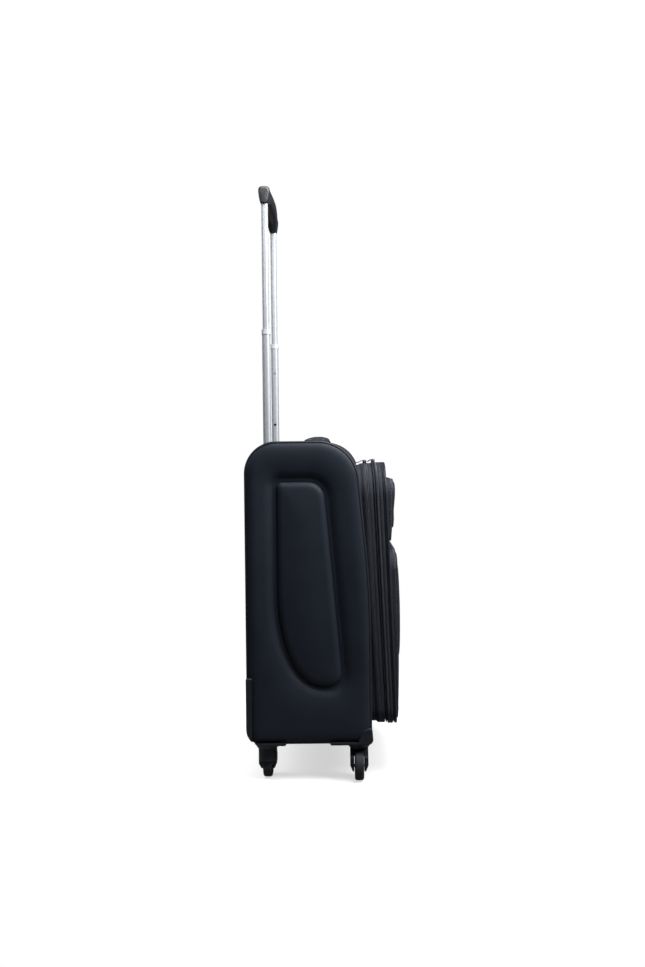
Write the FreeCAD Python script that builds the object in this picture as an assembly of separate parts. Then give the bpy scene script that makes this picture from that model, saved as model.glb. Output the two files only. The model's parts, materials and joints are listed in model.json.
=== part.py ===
"""Softside upright spinner suitcase, cabin size, with its tow handle extended.

Millimetres, +Z up. The origin is on the floor under the middle of the case. The front,
with the pockets, faces -Y, the back, with the tow handle, faces +Y, and the width runs
along X. Every function makes one sub-part, or the pair or set that shares its node.
"""

import FreeCAD, Part
import math
import os

V = FreeCAD.Vector
X_AXIS, Y_AXIS, Z_AXIS = V(1, 0, 0), V(0, 1, 0), V(0, 0, 1)
SIDES = (-1, 1)

# ---- driving dimensions -------------------------------------------------------------------
BODY_TOP, BODY_BOTTOM = 550.0, 63.0
BODY_BACK = 123.6
FRONT_AT_TOP, FRONT_AT_BEND, FRONT_AT_BOTTOM = -53.0, -75.4, -75.0
BEND_Z = 310.0
BACK_RADIUS, FRONT_RADIUS, BOTTOM_RADIUS, BEND_RADIUS = 50.0, 65.0, 20.0, 1500.0

BAND_HALF = 166.0        # half the width of the fabric band between the side panels
PANEL_IN, PANEL_OUT = 166.3, 176.0
BAND_WALL = 3.5
LINING_WALL = 1.2

LID_HALF, LID_TOP, LID_BOTTOM = 155.0, 515.0, 84.0
LID_RADIUS, LID_LOW_RADIUS = 55.0, 28.0
LID_REAR_TOP, LID_REAR_BOTTOM = -66.5, -87.4
LID_FRONT_TOP, LID_FRONT_BOTTOM = -105.0, -118.8
LID_WALL = 4.0
SPLIT_MAIN, SPLIT_EXPAND = 0.18, 0.43   # the two zips, as shares of the lid's thickness

TUBE_Y, TUBE_X = 92.5, 100.0
TRAY_FLOOR = 515.0
OUTER_TUBE = (23.0, 15.6)
MIDDLE_TUBE = (20.8, 13.0)
INNER_TUBE = (18.0, 10.4)
TUBE_WALL = 1.0
MIDDLE_TOP, MIDDLE_BOTTOM = 743.4, 470.0
INNER_TOP, INNER_BOTTOM = 973.0, 685.0
COLLAR_HEIGHT = 8.0
GRIP_TOP, GRIP_BOTTOM, GRIP_HALF = 986.0, 955.7, 113.0
BUTTON_TRAVEL, BUTTON_PROUD = 4.0, 2.5

CASTER_X, REAR_CASTER_Y, FRONT_CASTER_Y = 152.0, 94.0, -56.0
WHEEL_RADIUS, WHEEL_WIDTH, TRAIL = 23.0, 15.0, 12.0
FORK_WIDTH, FORK_TOP, FORK_BOTTOM = 29.6, 50.5, 15.0
AXLE_RADIUS = 2.5


# ---- small helpers ------------------------------------------------------------------------
def rounded_wire(corners, place, inset=0.0):
    """A closed wire of straight runs and tangent arcs, drawn in by inset. Every corner is
    convex and given as (a, b, radius)."""
    edges, ends = [], []
    count = len(corners)
    for i, (a, b, radius) in enumerate(corners):
        here = V(a, b, 0)
        before = V(*corners[i - 1][:2], 0) - here
        after = V(*corners[(i + 1) % count][:2], 0) - here
        before.normalize()
        after.normalize()
        half = before.getAngle(after) / 2
        middle = before + after
        middle.normalize()
        here = here + middle * (inset / math.sin(half))
        radius = radius - inset
        start = here + before * (radius / math.tan(half))
        end = here + after * (radius / math.tan(half))
        top = here + middle * (radius / math.sin(half) - radius)
        ends.append((place(start), place(top), place(end)))
    for i, (start, top, end) in enumerate(ends):
        edges.append(Part.Arc(start, top, end).toShape())
        following = ends[(i + 1) % count][0]
        if end.distanceToPoint(following) > 0.001:
            edges.append(Part.LineSegment(end, following).toShape())
    return Part.Wire(edges)


def in_yz(point):
    return V(0, point.x, point.y)


def in_xz(point):
    return V(point.x, 0, point.y)


def in_xy(point):
    return V(point.x, point.y, 0)


def box(x0, x1, y0, y1, z0, z1):
    return Part.makeBox(x1 - x0, y1 - y0, z1 - z0, V(x0, y0, z0))


def cylinder(radius, height, base, axis):
    return Part.makeCylinder(radius, height, base, axis)


def mirrored(shape):
    return shape.mirror(V(0, 0, 0), X_AXIS)


def pair(shape):
    """The shape and its mirror image across the middle of the case."""
    return Part.makeCompound([shape, mirrored(shape)])


def export(shape, name):
    solids = shape.Solids
    bad = [s for s in solids if not s.isValid() or s.Volume <= 0]
    if bad or not solids:
        print("PROBLEM", name, len(solids), "solids,", len(bad), "bad")
    whole = solids[0] if len(solids) == 1 else Part.makeCompound(solids)
    whole.exportStep(os.path.join("parts", name + ".step"))


# ---- the case's side outline, and solids made from it --------------------------------------
def body_solid(inset, x0, x1):
    """The side outline, drawn in by inset, extruded from x0 to x1."""
    corners = [
        (BODY_BACK, BODY_BOTTOM, BOTTOM_RADIUS),
        (BODY_BACK, BODY_TOP, BACK_RADIUS),
        (FRONT_AT_TOP, BODY_TOP, FRONT_RADIUS),
        (FRONT_AT_BEND, BEND_Z, BEND_RADIUS),
        (FRONT_AT_BOTTOM, BODY_BOTTOM, BOTTOM_RADIUS),
    ]
    face = Part.Face(rounded_wire(corners, in_yz, inset))
    face.translate(V(x0, 0, 0))
    return face.extrude(V(x1 - x0, 0, 0))


def band_loop():
    """The whole fabric band: top, back, bottom and front in one loop."""
    return body_solid(0, -BAND_HALF, BAND_HALF).cut(
        body_solid(BAND_WALL, -BAND_HALF - 1, BAND_HALF + 1))


TOP_SEAM_BACK, TOP_SEAM_FRONT, BOTTOM_SEAM = 495.0, 486.0, 90.0
MIDDLE_Y = 20.0


def top_zone():
    low = Part.Face(Part.makePolygon([
        V(-200, MIDDLE_Y, TOP_SEAM_FRONT), V(-200, -200, TOP_SEAM_FRONT), V(-200, -200, 700),
        V(-200, 200, 700), V(-200, 200, TOP_SEAM_BACK), V(-200, MIDDLE_Y, TOP_SEAM_BACK),
        V(-200, MIDDLE_Y, TOP_SEAM_FRONT)]))
    return low.extrude(V(400, 0, 0))


def bottom_zone():
    return box(-200, 200, -200, 200, 0, BOTTOM_SEAM)


def lid_prism(inset, y0=-200, y1=0):
    """The lid's rounded rectangle, drawn in by inset, as a prism along Y."""
    half, radius, low_radius = LID_HALF - inset, LID_RADIUS - inset, LID_LOW_RADIUS - inset
    low, high = LID_BOTTOM + inset, LID_TOP - inset
    corners = [(-half, low, low_radius), (half, low, low_radius),
               (half, high, radius), (-half, high, radius)]
    face = Part.Face(rounded_wire(corners, in_xz))
    face.translate(V(0, y0, 0))
    return face.extrude(V(0, y1 - y0, 0))


def lid_y(share, z):
    """Y on the plane that lies at this share of the lid's thickness, at height z."""
    rise = (z - LID_BOTTOM) / (LID_TOP - LID_BOTTOM)
    rear = LID_REAR_BOTTOM + (LID_REAR_TOP - LID_REAR_BOTTOM) * rise
    front = LID_FRONT_BOTTOM + (LID_FRONT_TOP - LID_FRONT_BOTTOM) * rise
    return rear + (front - rear) * share


def lid_slab(share0, share1, shift=0.0):
    """Everything between two shares of the lid's thickness, moved back by shift."""
    low, high = 20.0, 600.0
    points = [(share0, low), (share0, high), (share1, high), (share1, low), (share0, low)]
    wire = Part.makePolygon([V(-200, lid_y(s, z) + shift, z) for s, z in points])
    return Part.Face(wire).extrude(V(400, 0, 0))


def lid_ring(inset, wall, share0, share1, shift=0.0):
    ring = lid_prism(inset).cut(lid_prism(inset + wall))
    return ring.common(lid_slab(share0, share1, shift))


# ---- housings that wrap the lower corners --------------------------------------------------
GUARD_TOP, GUARD_OUT, GUARD_WING, GUARD_EDGE = 169.0, 3.0, 6.5, 2.4
HOUSING_X0, HOUSING_X1 = 118.0, 177.0
HOUSING_FLOOR = 59.0
BOSS_RADIUS, BOSS_BOTTOM = 16.5, 51.5
KINGPIN_RADIUS, KINGPIN_BOTTOM = 4.0, 46.3


def caster_seat(y):
    """The boss above a caster."""
    return Part.makeCone(BOSS_RADIUS, BOSS_RADIUS + 6, HOUSING_FLOOR + 2 - BOSS_BOTTOM,
                         V(CASTER_X, y, BOSS_BOTTOM), Z_AXIS)


def seat_bore(y):
    return cylinder(KINGPIN_RADIUS + 0.05, 40, V(CASTER_X, y, BOSS_BOTTOM - 5), Z_AXIS)


def rounded_block(corners, x0):
    """A block from x0 out to the side, with the edges of its outer face rounded."""
    face = Part.Face(rounded_wire(corners, in_yz))
    face.translate(V(x0, 0, 0))
    block = face.extrude(V(HOUSING_X1 - x0, 0, 0))
    rim = [e for e in block.Edges if abs(e.CenterOfMass.x - HOUSING_X1) < 0.01]
    return block.makeFillet(GUARD_EDGE, rim)


def rear_housing():
    """Kick plate, corner guard and caster seat in one moulding, on the +X side."""
    corners = [(BODY_BACK + GUARD_OUT, HOUSING_FLOOR, 27), (BODY_BACK + GUARD_OUT, GUARD_TOP, 3),
               (BODY_BACK - GUARD_WING, GUARD_TOP, 4), (62, HOUSING_FLOOR + 30, 12),
               (62, HOUSING_FLOOR, 3)]
    block = rounded_block(corners, HOUSING_X0)
    inside = body_solid(0, 0, BAND_HALF + 0.2)
    wing_cut = box(BAND_HALF, 200, 0, BODY_BACK - GUARD_WING, BODY_BOTTOM - 0.3, 200)
    moulding = block.cut(inside).cut(wing_cut)
    moulding = moulding.fuse(caster_seat(REAR_CASTER_Y).cut(body_solid(0, 0, 200)))
    return moulding.removeSplitter()


# the lobe that covers the front lower corner of the side panel
LOBE = [(-79.8, HOUSING_FLOOR, 9), (-77.5, 88.0, 5), (-63.5, 83.0, 9), (-52.0, HOUSING_FLOOR, 4)]


def front_housing():
    """Corner lobe, floor plate and caster seat in one moulding, on the +X side."""
    corners = [(-79.8, HOUSING_FLOOR, 9), (-76.8, BODY_BOTTOM + 18, 4),
               (-50, BODY_BOTTOM + 10, 12), (-9, BODY_BOTTOM + 2, 3), (-9, HOUSING_FLOOR, 3)]
    block = rounded_block(corners, HOUSING_X0 + 7)
    moulding = block.fuse(caster_seat(FRONT_CASTER_Y)).cut(body_solid(0, 0, 200))
    return moulding.fuse(rounded_block(LOBE, BAND_HALF + 0.2)).removeSplitter()


def housing_cutter():
    """The room that the housings take out of the panels and the piping."""
    guard = box(BAND_HALF, 200, BODY_BACK - GUARD_WING - 0.2, 200, 0, GUARD_TOP + 0.2)
    lobe = Part.Face(rounded_wire(LOBE, in_yz, -0.2))
    lobe.translate(V(BAND_HALF, 0, 0))
    return pair(Part.makeCompound([guard, lobe.extrude(V(30, 0, 0))]))


SCREW_SEATS = [(127.0, 76.0), (127.0, 108.0), (160.0, 70.0), (132.0, -22.0), (165.0, -22.0)]


def screws():
    """Countersunk screws that hold the caster housings to the case's floor."""
    made = []
    for x, y in SCREW_SEATS:
        head = Part.makeCone(3.4, 1.8, 1.6, V(x, y, HOUSING_FLOOR), Z_AXIS)
        shank = cylinder(1.8, BODY_BOTTOM - HOUSING_FLOOR - 1.8, V(x, y, HOUSING_FLOOR + 1.6), Z_AXIS)
        made.append(head.fuse(shank).removeSplitter())
    return pair(Part.makeCompound(made))


def kingpins():
    """Steel pins that the forks swivel on."""
    made = []
    for y in (REAR_CASTER_Y, FRONT_CASTER_Y):
        made.append(cylinder(KINGPIN_RADIUS, BODY_BOTTOM - 0.2 - KINGPIN_BOTTOM,
                             V(CASTER_X, y, KINGPIN_BOTTOM), Z_AXIS))
    return pair(Part.makeCompound(made))


# ---- casters -------------------------------------------------------------------------------
FORK_TAIL = 18.0          # how far the cheeks reach behind the kingpin
SKIRT = 31.0              # height of the shroud's edge ahead of the wheel
CHEEK_TOP, CHEEK_HALF = 25.0, 11.0


def fork(x, y, way):
    """Swivelling shroud: a crown over two cheeks, with the wheel behind by the trail."""
    centre = V(x + way * TRAIL, y, WHEEL_RADIUS)
    half, ahead, tail = FORK_WIDTH / 2, x - way * 16, x + way * FORK_TAIL
    crown = cylinder(half, FORK_TOP - FORK_BOTTOM, V(x, y, FORK_BOTTOM), Z_AXIS)
    start, end = sorted((x, tail))
    crown = crown.fuse(box(start, end, y - half, y + half, FORK_BOTTOM, FORK_TOP))
    side = Part.Face(Part.makePolygon([
        V(ahead, y - 20, FORK_TOP), V(ahead, y - 20, SKIRT), V(x - way * 6, y - 20, SKIRT),
        V(x + way * 4, y - 20, FORK_BOTTOM), V(tail, y - 20, FORK_BOTTOM),
        V(tail, y - 20, FORK_TOP - 14), V(x + way * 6, y - 20, FORK_TOP), V(ahead, y - 20, FORK_TOP)]))
    front = Part.Face(Part.makePolygon([
        V(x - 20, y - half, FORK_TOP), V(x - 20, y - half, CHEEK_TOP),
        V(x - 20, y - CHEEK_HALF, FORK_BOTTOM), V(x - 20, y + CHEEK_HALF, FORK_BOTTOM),
        V(x - 20, y + half, CHEEK_TOP), V(x - 20, y + half, FORK_TOP), V(x - 20, y - half, FORK_TOP)]))
    shape = crown.common(side.extrude(V(0, 40, 0))).common(front.extrude(V(40, 0, 0)))
    gap = WHEEL_WIDTH / 2 + 0.8
    slot = cylinder(WHEEL_RADIUS + 1.2, 2 * gap, centre - V(0, gap, 0), Y_AXIS)
    low_slot = box(centre.x - WHEEL_RADIUS - 1.2, centre.x + WHEEL_RADIUS + 1.2,
                   y - gap, y + gap, 0, WHEEL_RADIUS)
    bore = cylinder(KINGPIN_RADIUS + 0.06, 40, V(x, y, 30), Z_AXIS)
    hole = cylinder(AXLE_RADIUS, 60, centre - V(0, 30, 0), Y_AXIS)
    return shape.cut(slot).cut(low_slot).cut(bore).cut(hole).removeSplitter()


def axle(x, y, way):
    centre = V(x + way * TRAIL, y, WHEEL_RADIUS)
    return cylinder(AXLE_RADIUS, FORK_WIDTH - 1.0, centre - V(0, FORK_WIDTH / 2 - 0.5, 0), Y_AXIS)


TYRE_WALL, HUB_CLEARANCE = 5.0, 0.06


def hub(x, y, way):
    """Spoked nylon wheel body with a running bore for the axle."""
    centre = V(x + way * TRAIL, y, WHEEL_RADIUS)
    half = WHEEL_WIDTH / 2
    body = cylinder(WHEEL_RADIUS - TYRE_WALL, WHEEL_WIDTH - 1, centre - V(0, half - 0.5, 0), Y_AXIS)
    for side in SIDES:
        dish = cylinder(WHEEL_RADIUS - TYRE_WALL - 2.5, 4.0, V(0, 0, 0), Y_AXIS).cut(
            cylinder(AXLE_RADIUS + 3, 4.0, V(0, 0, 0), Y_AXIS))
        start = half - 4.5 if side > 0 else -half + 0.5
        dish.translate(centre + V(0, start, 0))
        body = body.cut(dish)
    return body.cut(cylinder(AXLE_RADIUS + HUB_CLEARANCE, 40, centre - V(0, 20, 0), Y_AXIS))


def tyre(x, y, way):
    centre = V(x + way * TRAIL, y, WHEEL_RADIUS)
    half = WHEEL_WIDTH / 2
    tread = cylinder(WHEEL_RADIUS, WHEEL_WIDTH, centre - V(0, half, 0), Y_AXIS)
    bore = cylinder(WHEEL_RADIUS - TYRE_WALL, WHEEL_WIDTH + 2, centre - V(0, half + 1, 0), Y_AXIS)
    tread = tread.cut(bore)
    outer = [e for e in tread.Edges if len(e.Vertexes) == 1 and e.Curve.Radius > WHEEL_RADIUS - 1]
    return tread.makeFillet(3.8, outer)


# ---- shell ---------------------------------------------------------------------------------
TRAY_HALF, TRAY_Y0, TRAY_Y1, TRAY_WALL = 126.0, 76.0, 109.0, 2.0


def tray_block(grow=0.0):
    """The room that the handle tray takes out of the top."""
    return box(-TRAY_HALF - grow, TRAY_HALF + grow, TRAY_Y0 - grow, TRAY_Y1 + grow,
               TRAY_FLOOR - 3 - grow, 600)


def top_gusset():
    return band_loop().common(top_zone()).cut(tray_block())


def back_panel():
    return band_loop().cut(top_zone()).cut(bottom_zone()).common(box(-200, 200, 40, 200, 0, 600))


def bottom_gusset():
    return band_loop().common(bottom_zone())


OPENING_INSET = 4.0


def front_wall():
    return band_loop().cut(top_zone()).cut(bottom_zone()).common(box(-200, 200, -200, 0, 0, 600))


def opening_cut(shape):
    """The shape, cut away where the lid opens."""
    return shape.cut(lid_prism(OPENING_INSET))


def shield_face(inset):
    """Outline of the relief pressed into the side panels: a shield with one long curved flank."""
    top, back, front_top, front_low = 492.5 - inset, 74.5 - inset, -12.0 + inset, -36.5 + inset
    flank_z, tip_y = 320.0, -6.0
    low = 146.0 + inset
    flank = [in_yz(V(tip_y + (back - tip_y) * math.cos(a), flank_z - (flank_z - low) * math.sin(a), 0))
             for a in [math.radians(d) for d in range(0, 91, 15)]]
    curve = Part.BSplineCurve()
    curve.interpolate(flank, InitialTangent=V(0, 0, -1), FinalTangent=V(0, -1, 0))
    corner = 26.0 - inset
    corner_start = V(0, front_low + corner, low)
    corner_end = V(0, front_low, low + corner)
    turn = corner * (1 - math.sqrt(0.5))
    big, small = 34.0 - inset, 16.0 - inset / 2
    edges = [
        curve.toShape(),
        Part.LineSegment(V(0, tip_y, low), corner_start).toShape(),
        Part.Arc(corner_start, V(0, front_low + turn, low + turn), corner_end).toShape(),
        Part.LineSegment(corner_end, V(0, front_top, top - big)).toShape(),
        Part.Arc(V(0, front_top, top - big),
                 V(0, front_top + big * (1 - math.sqrt(0.5)), top - big * (1 - math.sqrt(0.5))),
                 V(0, front_top + big, top)).toShape(),
        Part.LineSegment(V(0, front_top + big, top), V(0, back - small, top)).toShape(),
        Part.Arc(V(0, back - small, top),
                 V(0, back - small * (1 - math.sqrt(0.5)), top - small * (1 - math.sqrt(0.5))),
                 V(0, back, top - small)).toShape(),
        Part.LineSegment(V(0, back, top - small), V(0, back, flank_z)).toShape(),
    ]
    return Part.Face(Part.Wire(edges))


RELIEF_DEPTH, RELIEF_WIDTH = 3.5, 11.0


def side_panel():
    """Moulded foam side, on the +X side: a plate with a rounded rim and a pressed relief."""
    plate = body_solid(2.0, PANEL_IN, PANEL_OUT)
    rim = [e for e in plate.Edges if abs(e.CenterOfMass.x - PANEL_OUT) < 0.01]
    plate = plate.makeFillet(6.0, rim)
    ring = shield_face(0).cut(shield_face(RELIEF_WIDTH))
    ring.translate(V(PANEL_OUT - RELIEF_DEPTH, 0, 0))
    return plate.cut(ring.extrude(V(20, 0, 0)))


def side_panel_at(side):
    panel = side_panel() if side > 0 else mirrored(side_panel())
    return panel.cut(housing_cutter())


def side_piping():
    """Corded edge where each side panel meets the band."""
    ring = body_solid(-1.6, PANEL_IN, PANEL_IN + 4.2).cut(body_solid(1.9, PANEL_IN - 1, PANEL_IN + 6))
    keep_off = box(HOUSING_X0, 200, -90, -4, 40, BODY_BOTTOM + 25)
    ring = ring.cut(pair(keep_off)).cut(housing_cutter())
    ring = ring.cut(pair(box(HOUSING_X0, 200, 60, 200, 40, BODY_BOTTOM + 8)))
    return pair(ring)


LINING_BACK = 81.0


def lining():
    """Inner bag: thin walls on five sides, open at the front, with a false back over the tubes."""
    half = BAND_HALF - 1.0
    outer = body_solid(BAND_WALL + 0.3, -half, half)
    inner = body_solid(BAND_WALL + 0.3 + LINING_WALL, -half + LINING_WALL, half - LINING_WALL)
    behind = box(-200, 200, LINING_BACK, 200, 0, 600)
    inner = inner.cut(box(-200, 200, LINING_BACK - LINING_WALL, 200, 0, 600))
    shell = outer.cut(behind).cut(inner)
    front = lid_prism(OPENING_INSET + 6)
    floor = box(-200, 200, -200, 200, 0, BASE_TOP + 0.2)
    return shell.cut(front).cut(floor).cut(tray_block(0.2)).cut(opening_wire())


BASE_TOP = BODY_BOTTOM + BAND_WALL + 0.3 + 2.5


def base_board():
    """Stiff board on the case's floor that spreads the load over the four casters."""
    board = body_solid(BAND_WALL + 0.3, -BAND_HALF + 2, BAND_HALF - 2)
    board = board.common(box(-200, 200, -60, 112, 0, BASE_TOP))
    plate = box(-TUBE_X - 25, TUBE_X + 25, TUBE_Y - 15, 130, 60, 100)
    return board.cut(plate)


def opening_wire():
    """Spring-steel loop that keeps the mouth of the case in shape."""
    ring = lid_prism(-4.0).cut(lid_prism(-1.0))
    inner = body_solid(BAND_WALL + 0.2, -200, 200).cut(body_solid(BAND_WALL + 3.0, -201, 201))
    return ring.common(inner)


def handle_tray():
    """Recess in the top that the grip drops into, with a rim that follows the case's corner."""
    shell = body_solid(-1.4, -TRAY_HALF - 5, TRAY_HALF + 5).common(
        box(-TRAY_HALF - 5, TRAY_HALF + 5, TRAY_Y0 - 5, TRAY_Y1 + 5, TRAY_FLOOR - 3, 600))
    rim = shell.cut(body_solid(0.0, -200, 200))
    cup = body_solid(-1.4, -TRAY_HALF, TRAY_HALF).common(
        box(-TRAY_HALF, TRAY_HALF, TRAY_Y0, TRAY_Y1, TRAY_FLOOR - 3, 600))
    hollow = box(-TRAY_HALF + TRAY_WALL, TRAY_HALF - TRAY_WALL, TRAY_Y0 + TRAY_WALL,
                 TRAY_Y1 - TRAY_WALL, TRAY_FLOOR, 600)
    made = rim.fuse(cup).cut(hollow)
    for side in SIDES:
        made = made.cut(flat_oval(OUTER_TUBE, side * TUBE_X, TRAY_FLOOR - 10, TRAY_FLOOR + 1))
    return made.removeSplitter()


# ---- tow handle ----------------------------------------------------------------------------
def flat_oval(size, x, z0, z1, inset=0.0):
    """A bar of rounded-rectangle section along Z, standing at x."""
    across, deep = size[0] / 2 - inset, size[1] / 2 - inset
    radius = max(deep - 1.6, 0.8)
    corners = [(x - across, TUBE_Y - deep, radius), (x + across, TUBE_Y - deep, radius),
               (x + across, TUBE_Y + deep, radius), (x - across, TUBE_Y + deep, radius)]
    face = Part.Face(rounded_wire(corners, in_xy))
    face.translate(V(0, 0, z0))
    return face.extrude(V(0, 0, z1 - z0))


def tube(size, z0, z1):
    """The +X tube of a stage."""
    return flat_oval(size, TUBE_X, z0, z1).cut(flat_oval(size, TUBE_X, z0 - 1, z1 + 1, TUBE_WALL))


LOCK_HOLE_RADIUS = 2.4
LOCK_HOLES_BELOW = (56.0, 153.0)


def outer_tubes():
    return pair(tube(OUTER_TUBE, TUBE_FOOT_TOP - 4, TRAY_FLOOR))


def middle_tubes():
    """Second stage, with the lock holes on the faces that look at each other."""
    made = tube(MIDDLE_TUBE, MIDDLE_BOTTOM, MIDDLE_TOP - COLLAR_HEIGHT)
    for below in LOCK_HOLES_BELOW:
        made = made.cut(cylinder(LOCK_HOLE_RADIUS, 12, V(TUBE_X - 15, TUBE_Y, MIDDLE_TOP - below), X_AXIS))
    return pair(made)


def stage_bushes():
    """Plastic sleeves of the second stage: the upper ones guide the third stage, the lower
    ones run in the fixed tubes."""
    upper = flat_oval((MIDDLE_TUBE[0] + 1.4, MIDDLE_TUBE[1] + 1.4), TUBE_X,
                      MIDDLE_TOP - COLLAR_HEIGHT, MIDDLE_TOP)
    lower = flat_oval(OUTER_TUBE, TUBE_X, MIDDLE_BOTTOM - 12, MIDDLE_BOTTOM, TUBE_WALL + 0.1)
    bore = flat_oval(INNER_TUBE, TUBE_X, 0, 999, -0.1)
    return Part.makeCompound([pair(upper.cut(bore)), pair(lower.cut(bore))])


def inner_tubes():
    return pair(tube(INNER_TUBE, INNER_BOTTOM, INNER_TOP))


LOCK_HEIGHT = 30.0
PIN_RADIUS, PIN_LENGTH = 2.0, 9.0
ROD_RADIUS = 1.5


def lock_blocks():
    """Plugs in the bottoms of the third stage, with their lock pins drawn in."""
    plug = flat_oval(INNER_TUBE, TUBE_X, INNER_BOTTOM, INNER_BOTTOM + LOCK_HEIGHT, TUBE_WALL)
    plug = plug.cut(cylinder(ROD_RADIUS + 0.5, 60, V(TUBE_X, TUBE_Y, INNER_BOTTOM + 14), Z_AXIS))
    pin = cylinder(PIN_RADIUS, PIN_LENGTH,
                   V(TUBE_X - INNER_TUBE[0] / 2 + TUBE_WALL, TUBE_Y, INNER_BOTTOM + 7), X_AXIS)
    return Part.makeCompound([pair(plug.cut(pin)), pair(pin)])


GRIP_WIDTH_TOP, GRIP_WIDTH_LOW = 18.7, 13.0
GRIP_ARCH, GRIP_LEG = 10.0, 15.0
BUTTON_HALF_X, BUTTON_HALF_Y = 17.0, 5.0
GRIP_SPLIT = GRIP_TOP - 9.0


def grip_body():
    """Grip as one solid: a bar between two legs, wider at the top, with a rounded finger arch."""
    top, low = GRIP_WIDTH_TOP / 2, GRIP_WIDTH_LOW / 2
    section = Part.Face(Part.makePolygon([
        V(-GRIP_HALF, TUBE_Y - low, GRIP_BOTTOM), V(-GRIP_HALF, TUBE_Y + low, GRIP_BOTTOM),
        V(-GRIP_HALF, TUBE_Y + top, GRIP_TOP - 4), V(-GRIP_HALF, TUBE_Y + top - 3, GRIP_TOP),
        V(-GRIP_HALF, TUBE_Y - top + 3, GRIP_TOP), V(-GRIP_HALF, TUBE_Y - top, GRIP_TOP - 4),
        V(-GRIP_HALF, TUBE_Y - low, GRIP_BOTTOM)]))
    bar = section.extrude(V(2 * GRIP_HALF, 0, 0))
    reach = GRIP_HALF - GRIP_LEG - 11
    arch_corners = [(-reach, GRIP_BOTTOM - 20, 2), (reach, GRIP_BOTTOM - 20, 2),
                    (reach, GRIP_BOTTOM + GRIP_ARCH, 12), (-reach, GRIP_BOTTOM + GRIP_ARCH, 12)]
    arch = Part.Face(rounded_wire(arch_corners, in_xz))
    arch.translate(V(0, TUBE_Y - 30, 0))
    front_corners = [(-GRIP_HALF, GRIP_BOTTOM, 3), (GRIP_HALF, GRIP_BOTTOM, 3),
                     (GRIP_HALF, GRIP_TOP, 8), (-GRIP_HALF, GRIP_TOP, 8)]
    outline = Part.Face(rounded_wire(front_corners, in_xz))
    outline.translate(V(0, TUBE_Y - 30, 0))
    return bar.common(outline.extrude(V(0, 60, 0))).cut(arch.extrude(V(0, 60, 0)))


def grip_channel():
    """The room inside the grip for the button, its bridge and the rods."""
    return box(-TUBE_X - 4, TUBE_X + 4, TUBE_Y - 4.0, TUBE_Y + 4.0, GRIP_SPLIT - 6, GRIP_SPLIT + 5)


def grip_lower():
    lower = grip_body().common(box(-200, 200, 0, 200, 0, GRIP_SPLIT))
    for side in SIDES:
        lower = lower.cut(flat_oval(INNER_TUBE, side * TUBE_X, 900, INNER_TOP))
        lower = lower.cut(cylinder(ROD_RADIUS + 0.5, 60, V(side * TUBE_X, TUBE_Y, 940), Z_AXIS))
    return lower.cut(grip_channel())


def grip_upper():
    upper = grip_body().common(box(-200, 200, 0, 200, GRIP_SPLIT, 1000))
    window = box(-BUTTON_HALF_X - 0.4, BUTTON_HALF_X + 0.4, TUBE_Y - BUTTON_HALF_Y - 0.4,
                 TUBE_Y + BUTTON_HALF_Y + 0.4, GRIP_SPLIT, 1000)
    return upper.cut(grip_channel()).cut(window)


BRIDGE_TOP = GRIP_SPLIT + BUTTON_TRAVEL + 0.5


def release_button():
    """Push button in the middle of the grip, with its own foot on the bridge."""
    cap = box(-BUTTON_HALF_X, BUTTON_HALF_X, TUBE_Y - BUTTON_HALF_Y, TUBE_Y + BUTTON_HALF_Y,
              BRIDGE_TOP, GRIP_TOP + BUTTON_PROUD)
    top = [e for e in cap.Edges if e.CenterOfMass.z > GRIP_TOP + BUTTON_PROUD - 0.1]
    return cap.makeFillet(1.4, top)


def release_rods():
    """Bridge under the button and the two rods that run down inside the tubes."""
    bridge = box(-TUBE_X - 3, TUBE_X + 3, TUBE_Y - 3, TUBE_Y + 3, BRIDGE_TOP - 3, BRIDGE_TOP)
    for side in SIDES:
        low = INNER_BOTTOM + 20
        bridge = bridge.fuse(cylinder(ROD_RADIUS, BRIDGE_TOP - 3 - low,
                                      V(side * TUBE_X, TUBE_Y, low), Z_AXIS))
    return bridge.removeSplitter()


SPRING_HALF, SPRING_WALL, SPRING_WIDTH = 16.0, 0.5, 6.0


def button_spring():
    """Bowed leaf spring between the grip's floor and the bridge."""
    low, high = GRIP_SPLIT - 6, BRIDGE_TOP - 3.3
    y = TUBE_Y - SPRING_WIDTH / 2
    near, far = V(-SPRING_HALF, y, low), V(SPRING_HALF, y, low)
    near_in, far_in = V(-SPRING_HALF + 1, y, low), V(SPRING_HALF - 1, y, low)
    outline = Part.Wire([
        Part.Arc(near, V(0, y, high), far).toShape(),
        Part.LineSegment(far, far_in).toShape(),
        Part.Arc(far_in, V(0, y, high - SPRING_WALL), near_in).toShape(),
        Part.LineSegment(near_in, near).toShape()])
    return Part.Face(outline).extrude(V(0, SPRING_WIDTH, 0))


TUBE_FOOT_TOP = 84.0


def tube_foot_bracket():
    """Bracket on the case's floor that the fixed tubes stand in."""
    low = BODY_BOTTOM + BAND_WALL + 0.2
    plate = box(-TUBE_X - 22, TUBE_X + 22, TUBE_Y - 11, TUBE_Y + 12, low, low + 3)
    for side in SIDES:
        plate = plate.fuse(flat_oval(OUTER_TUBE, side * TUBE_X, low, TUBE_FOOT_TOP, -2.5))
    for side in SIDES:
        plate = plate.cut(flat_oval(OUTER_TUBE, side * TUBE_X, TUBE_FOOT_TOP - 4, 200))
    return plate.removeSplitter()


# ---- lid -----------------------------------------------------------------------------------
def body_zip_tape():
    """The half of the main zip that stays on the case."""
    ring = lid_prism(0).cut(lid_prism(LID_WALL))
    zone = lid_slab(-2.0, SPLIT_MAIN - 0.008)
    return ring.common(zone).cut(body_solid(0, -200, 200))


def lid_gusset():
    """Fabric wall between the main zip and the expansion zip."""
    return lid_ring(0, LID_WALL, SPLIT_MAIN, SPLIT_EXPAND - 0.008)


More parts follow.
